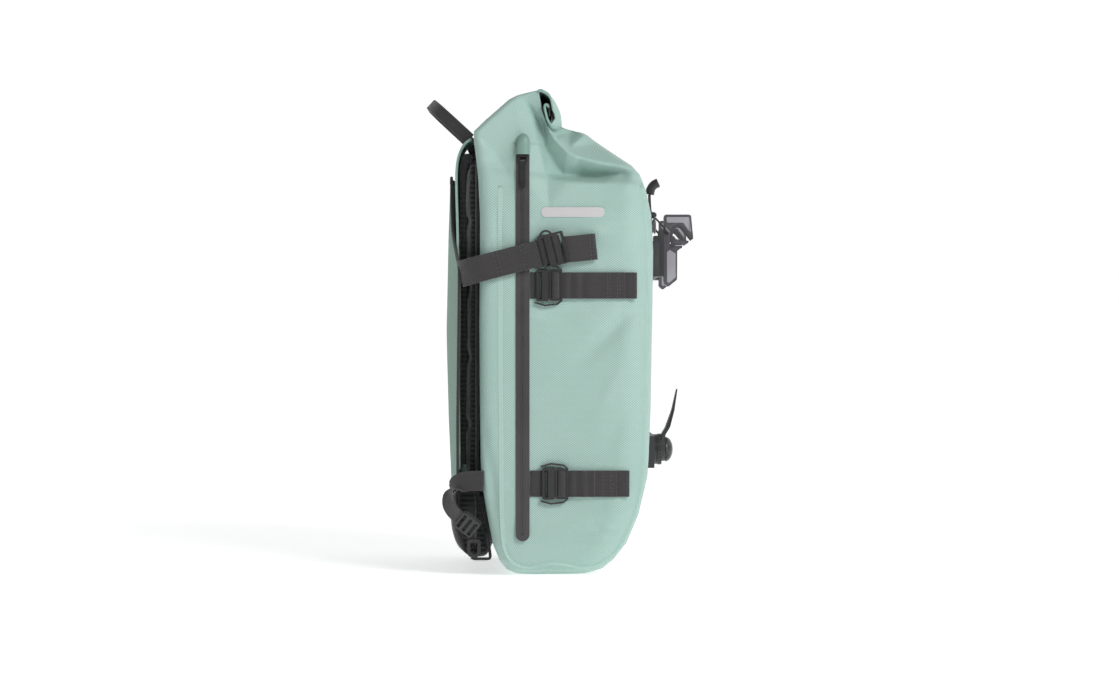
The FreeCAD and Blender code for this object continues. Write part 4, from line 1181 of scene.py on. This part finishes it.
def makeFlap():
    edge = roundedOutline(flap["outline"], flap["round"])
    # grid points inside the outline, then a net over them that keeps the edge
    gap = flap["mesh"]
    inside = []
    for i in range(int(280 / gap)):
        for j in range(int(304 / gap)):
            p = Vector((-139 + i * gap + (j % 2) * gap / 2, 86 + j * gap))
            if all((p - q).length > gap * 0.6 for q in edge):
                inside.append(p)
    count = len(edge)
    rim = []
    for k in range(count):
        a, b = edge[k], edge[(k + 1) % count]
        pieces = max(1, round((b - a).length / gap))
        rim += [a.lerp(b, s / pieces) for s in range(pieces)]
    loop = list(range(len(rim)))
    edges = [(k, (k + 1) % len(rim)) for k in loop]
    verts, _, faces, _, _, _ = geometry.delaunay_2d_cdt(rim + inside, edges, [loop], 2, 0.01)
    bm, weave = clothMesh()
    made = [bm.verts.new(Vector((flapX(v.x, v.y) + 0.8 + 0.3 * flapRipple(v.x, v.y), v.x,
                                 v.y)) * mm) for v in verts]
    for f in faces:
        if len({made[i] for i in f}) > 2:
            face = bm.faces.new([made[i] for i in f])
            markByPlace(face, weave, 1, 2)
    bmesh.ops.recalc_face_normals(bm, faces=bm.faces)
    if sum(f.normal.x * f.calc_area() for f in bm.faces) > 0:
        bmesh.ops.reverse_faces(bm, faces=bm.faces)
    cover = addMesh("coverFlap", bm, smooth=True, material=sageCover)
    wall = cover.modifiers.new("wall", "SOLIDIFY")
    wall.thickness, wall.offset = flap["thick"] * mm, 0
    finishPiece(bake(cover), "cover_flap", ["cover_flap"])
    # doubled binding round the edge
    line = [Vector((flapX(p.x, p.y) + 0.8, p.x, p.y)) * mm for p in rim]
    line.append(line[0])
    line = evenSteps(line, 2.4 * mm)
    middle = Vector((-0.1, 0, 0.235))
    across = [(Vector((0, middle.y, middle.z)) - Vector((0, p.y, p.z))).normalized() for p in line]
    bend = sweep("flapBinding", line, across,
                 strapProfile(flap["bind"] * mm * 1.6, flap["bindThick"] * mm), edgeBinding)
    finishPiece(bend, "cover_flap", ["flap_binding"])
    rows = [[(flapX(p.x, p.y) - 0.75, p.x * 0.975, 235 + (p.y - 235) * 0.978) for p in rim + [rim[0]]]]
    stitchRows("flapEdgeStitches", rows, "cover_flap", thread=threadBlack, spacing=3.6)


makeFlap()
print("cover flap ready")


# padded pieces, puffed by a cloth simulation

pads = {
    "voxel": 5.0, "pressure": 4.0, "frames": 20,
    "back": {"outline": [(-126, 86), (126, 86), (126, 394), (60, 414), (-60, 414), (-126, 394)],
             "round": [12, 12, 22, 30, 30, 22], "x": (-86.5, -77.6), "cap": 4.0},
    "lumbar": {"outline": [(-92.5, 81), (-102.4, 81), (-102, 46), (-96, 24), (-84, 15.5), (-66, 15.5),
                           (-69, 40), (-78, 81)],
               "round": [2, 4, 12, 10, 8, 2, 8, 2], "half": 124, "cap": 3.0},
    "shoulder": {"path": [(-90.6, 102), (-91.0, 240), (-91.2, 374), (-90.4, 396), (-87.0, 407)],
                 "half": 30.5, "thick": 9.0, "y": 82.0, "cap": 1.6},
}


def puff(obj, cap):
    # remeshed copy swells under light pressure, no further than the cap
    remesh = obj.modifiers.new("remesh", "REMESH")
    remesh.mode, remesh.voxel_size = "VOXEL", pads["voxel"] * mm
    bake(obj)
    before = np.array([v.co for v in obj.data.vertices], float)
    cloth = obj.modifiers.new("cloth", "CLOTH")
    s = cloth.settings
    s.quality = 4
    s.mass = 0.3
    s.use_pressure = True
    s.uniform_pressure_force = pads["pressure"]
    s.effector_weights.gravity = 0
    cloth.collision_settings.use_collision = False
    cloth.point_cache.frame_start, cloth.point_cache.frame_end = 1, pads["frames"]
    for step in range(1, pads["frames"] + 1):
        scene.frame_set(step)
    bake(obj)
    scene.frame_set(1)
    after = np.array([v.co for v in obj.data.vertices], float)
    move = after - before
    reach = np.linalg.norm(move, axis=1, keepdims=True)
    limit = cap * mm
    after = before + move * np.where(reach > limit, limit / np.maximum(reach, 1e-9), 1)
    obj.data.vertices.foreach_set("co", after.astype(np.float32).ravel())
    return after


def placeVerts(obj, change):
    # runs a function over every vertex, in millimetres
    for v in obj.data.vertices:
        v.co = Vector(change(v.co / mm)) * mm
    obj.data.update()


def softened(obj, levels=1):
    smooth = obj.modifiers.new("smooth", "SUBSURF")
    smooth.levels = smooth.render_levels = levels
    bake(obj)
    for face in obj.data.polygons:
        face.use_smooth = True
    return obj


def blank(name, outline, low, high, axis, material):
    # a flat-sided block from an outline: axis x takes (y, z) points and axis y takes (x, z)
    bm = bmesh.new()
    put = (lambda p, d: Vector((d, p[0], p[1]))) if axis == "x" else (lambda p, d: Vector((p[0], d, p[1])))
    a = [bm.verts.new(put(p, low) * mm) for p in outline]
    b = [bm.verts.new(put(p, high) * mm) for p in outline]
    count = len(outline)
    for k in range(count):
        n = (k + 1) % count
        bm.faces.new((a[k], a[n], b[n], b[k]))
    bm.faces.new(a[::-1])
    bm.faces.new(b)
    bmesh.ops.recalc_face_normals(bm, faces=bm.faces)
    return addMesh(name, bm, material=material)


def makeBackPad():
    b = pads["back"]
    pad = blank("backPad", roundedOutline(b["outline"], b["round"]), b["x"][0], b["x"][1], "x", meshFoam)
    puff(pad, b["cap"])
    softened(pad)

    def channels(p):
        x, y, z = p
        if x < -82:
            # an upright air channel and four level ones
            deep = 3.2 * math.exp(-(y / 13) ** 2)
            for level in (150, 215, 280, 345):
                deep = max(deep, 2.4 * math.exp(-((z - level - 6 * math.cos(y / 40)) / 6) ** 2))
            rim = min(1, max(0, (126 - abs(y)) / 10)) * min(1, max(0, (z - 88) / 8))
            rim *= min(1, max(0, (408 - z) / 12))
            x += deep * rim
        return (min(x, -77.0) if z < 395 else min(x, -79.5), y, z)

    placeVerts(pad, channels)
    finishPiece(pad, "bag", ["back_pad"])
    rim = [(p.x * 0.995, p.y) for p in roundedOutline(b["outline"], b["round"])]
    line = [Vector((-79.0, y, z)) * mm for y, z in rim + [rim[0]]]
    piping = sweep("backPadPiping", evenSteps(line, 3 * mm), Vector((1, 0, 0)),
                   strapProfile(3.4 * mm, 3.0 * mm), edgeBinding)
    finishPiece(piping, "bag")


def makeLumbar():
    b = pads["lumbar"]
    outline = [(p.x, p.y) for p in roundedOutline(b["outline"], b["round"], 5)]
    pad = blank("lumbarPad", outline, -b["half"], b["half"], "y", meshFoam)
    puff(pad, b["cap"])
    softened(pad)

    def shape(p):
        x, y, z = p
        edge = max(0, (abs(y) - 108) / 16)
        x += 6 * edge * edge if x < -85 else 0
        if x < -88:
            x += 2.0 * math.exp(-(y / 11) ** 2)
        return (x, y, max(z, 13.6))

    placeVerts(pad, shape)
    finishPiece(pad, "bag", ["lumbar_pad"])
    for y in (-124, 124):
        line = [Vector((x + (4 if x < -85 else 0), y, z)) * mm for x, z in outline[:-6]]
        out = Vector((0, 1, 0))
        piping = sweep("lumbarPiping_" + ("near" if y < 0 else "far"), evenSteps(line, 2.5 * mm), out,
                       strapProfile(3.0 * mm, 2.6 * mm), edgeBinding)
        finishPiece(piping, "bag")


def offsetPath(points, shift):
    line = []
    for k, p in enumerate(points):
        a, b = Vector(points[max(k - 1, 0)]), Vector(points[min(k + 1, len(points) - 1)])
        along = (b - a).normalized()
        line.append(Vector(p) + Vector((-along.y, along.x)) * shift)
    return line


skins = {"path": [(-96.7, 101), (-97.5, 180), (-97.6, 250), (-98.0, 320), (-99.3, 372), (-98.9, 392),
                  (-96.2, 405), (-91, 414.5), (-85.2, 418.6)], "half": 31.5, "thick": 1.3, "y": 82.0}


def makeShoulderStraps():
    b = pads["shoulder"]
    for side, sign in sides:
        line = offsetPath(b["path"], b["thick"] / 2)
        line += offsetPath(b["path"], -b["thick"] / 2)[::-1]
        low, high = b["y"] - b["half"], b["y"] + b["half"]
        pad = blank("shoulderPad_" + side, [(p.x, p.y) for p in line], sign * low, sign * high, "y", meshFoam)
        puff(pad, b["cap"])
        softened(pad)

        def curve(p, sign=sign):
            x, y, z = p
            off = abs(abs(y) - b["y"]) / b["half"]
            lift = 1.2 * max(0, off - 0.72) / 0.28
            ripple = 0.5 * noise.noise(Vector((x / 20, y / 24, z / 26)))
            return (min(max(x + ripple, -96.2), -84.0) + lift * 0.3, y, z)

        placeVerts(pad, curve)
        nodes = ["strap_pads"] if side == "near" else []
        finishPiece(pad, "bag", nodes)
        flat = [(x, sign * skins["y"], z) for x, z in skins["path"]]
        webbing("shoulderSkin_" + side, flat, (0, 1, 0), 2 * skins["half"], skins["thick"], "bag",
                ["strap_skins"] if side == "near" else (), material=mintFacing, gap=4)
        for edge in (-1, 1):
            y = sign * skins["y"] + edge * (skins["half"] - 0.6)
            rim = [(x + 0.2, y, z) for x, z in skins["path"]]
            place = "in" if edge * sign < 0 else "out"
            webbing(f"shoulderBinding_{side}_{place}", rim, (0, 1, 0), 4.2, 2.3, "bag",
                    material=weldSeam, gap=4)
        rows = []
        for edge in (-1, 1):
            y = sign * skins["y"] + edge * (skins["half"] - 5.5)
            rows.append([(x - 0.75, y, z) for x, z in flatSteps(skins["path"])])
        stitchRows("shoulderStitches_" + side, rows, "bag", thread=threadGreen, spacing=4)


makeBackPad()
makeLumbar()
makeShoulderStraps()


# carry handle, lower harness webbing, pull

handle = {"base": (-88.0, 0, 423.0), "lean": (-0.735, 0, 0.678), "half": 44.0, "reach": 56.0,
          "width": 12.0, "thick": 2.6}


def makeHandle():
    h = handle
    base, lean = Vector(h["base"]), Vector(h["lean"]).normalized()
    normal = Vector((lean.z, 0, -lean.x))
    foot, bendPlace, peak = base + lean * 0.5, base + lean * 30, base + lean * (h["reach"] - h["thick"] - 0.4)
    side = Vector((0, h["half"], 0))
    arch = [foot - side, base + lean * 14 - side * 0.99, bendPlace - side * 0.97,
            base + lean * 44 - Vector((0, 37, 0)), peak - Vector((0, 22, 0)), peak - Vector((0, 8, 0)),
            peak + Vector((0, 8, 0)), peak + Vector((0, 22, 0)), base + lean * 44 + Vector((0, 37, 0)),
            bendPlace + side * 0.97, base + lean * 14 + side * 0.99, foot + side]
    webbing("carryHandle", arch, tuple(normal), h["width"], h["thick"], "carry_handle",
            ["carry_handle"], gap=2.2)
    grip = arch[4:8]
    rows = []
    for edge in (-4.2, 4.2):
        for push in (-1.45, 1.45):
            rows.append([p + normal * edge + lean * push for p in grip])
    stitchRows("handleStitches", rows, "carry_handle")
    for sign, name in ((-1, "near"), (1, "far")):
        tabLine = [base - lean * 4 + side * sign, base - lean * 10 + side * sign + Vector((-2.0, 0, 0)),
                   Vector((-87.5, sign * h["half"], 409)) + Vector((-3, 0, 3))]
        webbing("handleTab_" + name, tabLine, tuple(normal), h["width"], h["thick"], "bag",
                ["handle_tabs"] if sign < 0 else (), gap=2)


lowerWeb = {
    # centre and the direction across the web, from the lumbar pad out and round to the lock
    "stations": [((-72, -146, 91), (0, 0, 1)), ((-86, -145.6, 91), (0.08, 0, 1)),
                 ((-97, -144.2, 87.5), (0.35, -0.15, 0.93)),
                 ((-104.2, -142.4, 78.5), (0.5, -0.45, 0.7)), ((-105.2, -140.9, 69.5), (0.52, -0.66, 0.5)),
                 ((-101.6, -139.6, 61.8), (0.44, -0.70, 0.56)),
                 ((-94.6, -138.4, 55.4), (0.435, -0.707, 0.557))],
    "width": 19.0, "thick": 1.5,
}


def makeLowerWebs():
    for side, sign in sides:
        line = [(x, y * -sign, z) for (x, y, z), _ in lowerWeb["stations"]]
        across = [(a, b * -sign, c) for _, (a, b, c) in lowerWeb["stations"]]
        webbing("lowerWeb_" + side, line, across, lowerWeb["width"], lowerWeb["thick"], "bag",
                ["strap_web_" + side], gap=2.2)


pullLoop = {"stem": [(91.6, 349), (90.6, 356), (90.1, 364), (89.9, 371)],
            "grip": [(90.2, 371.5), (91.2, 376), (94, 380.2), (98.4, 382.6)],
            "half": 11.0, "thick": 2.0, "gripThick": 9.0, "toggle": (90.2, 96.8, 347.5, 353.0),
            "toggleWide": 21.6}


def makePull():
    p = pullLoop
    stem = [(x, 0, z) for x, z in p["stem"]]
    webbing("pullStem", stem, (0, 1, 0), 2 * p["half"], p["thick"], "release_pull",
            ["release_pull"], gap=1.6)
    line = evenSteps(smoothSteps([Vector((x, 0, z)) * mm for x, z in p["grip"]]), 1.2 * mm)
    half, t = 12.4 * mm, p["gripThick"] / 2 * mm
    profile = []
    for k in range(28):
        a = 2 * math.pi * k / 28
        profile.append((half * math.copysign(abs(math.cos(a)) ** 0.35, math.cos(a)),
                        t * math.copysign(abs(math.sin(a)) ** 0.8, math.sin(a))))
    grip = sweep("pullGrip", line, Vector((0, 1, 0)), profile, bucklePlastic)
    # grip ribs across and rounded ends
    for v in grip.data.vertices:
        travel = (v.co - line[0]).length / mm
        v.co += Vector((0, 0, 0.25 * mm * math.sin(travel * 2.1)))
    finishPiece(grip, "release_pull")
    x0, x1, z0, z1 = p["toggle"]
    bar = bmesh.new()
    middle = Vector(((x0 + x1) / 2, 0, (z0 + z1) / 2)) * mm
    size = ((x1 - x0) * mm, p["toggleWide"] * mm, (z1 - z0) * mm, 1)
    bmesh.ops.create_cube(bar, size=1, matrix=Matrix.Translation(middle) @ Matrix.Diagonal(size))
    bmesh.ops.bevel(bar, geom=list(bar.edges), offset=1.3 * mm, segments=3, affect="EDGES")
    toggle = addMesh("pullToggle", bar, smooth=True, material=bucklePlastic)
    finishPiece(toggle, "release_pull")
    rows = [[(89.0, y, z) for z in (358, 364, 369)] for y in (-8, 8)]
    stitchRows("pullStitches", rows, "release_pull")


makeHandle()
makeLowerWebs()
makePull()
print("handle, lower webs and pull ready")


# moulded and metal pieces from the frame

finishes = {
    "bucklePlastic": ["flap_buckle", "upper_clip", "lower_clip", "side_sockets", "ladder_lock",
                      "strap_ring", "flap_loops"],
    "railPlastic": ["upper_rail", "lower_rail", "hook_carriage"],
    "hookPlastic": ["hook_body", "hook_latch"],
    "hookLining": ["hook_insert"],
    "swayPlastic": ["sway_carriage", "sway_finger", "sway_knob"],
    "screwSteel": ["rail_screws", "rail_nuts"],
    "zipMetal": ["zip_slider", "zip_pull"],
    "innerBoard": ["stiffener_board", "roll_stiffener"],
}


hookPanels = {
    # paler inset faces of the hooks in x, z
    "head": [(104.2, 345.0), (126.0, 345.0), (128.0, 329.4), (126.6, 330.5), (120.5, 339.5), (104.2, 339.5)],
    "stem": [(104.4, 311.0), (107.0, 313.2), (113.0, 309.4), (113.0, 286.4), (106.4, 280.6), (104.4, 282.2)],
    "radius": 1.0, "middle": 75.0, "cheek": 7.0, "proud": 0.4,
}


def makeHookPanels():
    h = hookPanels
    for side, sign in sides:
        for face, name in ((-1, "a"), (1, "b")):
            outer = sign * h["middle"] + face * h["cheek"]
            for part in ("head", "stem"):
                outline = [(p.x, p.y) for p in roundedOutline(h[part][::-1], [h["radius"]] * len(h[part]), 4)]
                ends = sorted((outer - face * 0.3, outer + face * h["proud"]))
                panel = blank(f"hookPanel_{part}_{side}_{name}", outline, ends[0], ends[1], "y", hookPanel)
                finishPiece(panel, "hook_" + side)


makeHookPanels()


def dressFrame():
    for finish, starts in finishes.items():
        look = bpy.data.materials[finish]
        for name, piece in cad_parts.items():
            if any(name.startswith(start) for start in starts):
                piece.data.materials.clear()
                piece.data.materials.append(look)


dressFrame()
bare = [name for name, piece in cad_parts.items()
        if not piece.hide_render and piece.data.materials[0].name not in finishes]
print("frame pieces without a finish:", bare)
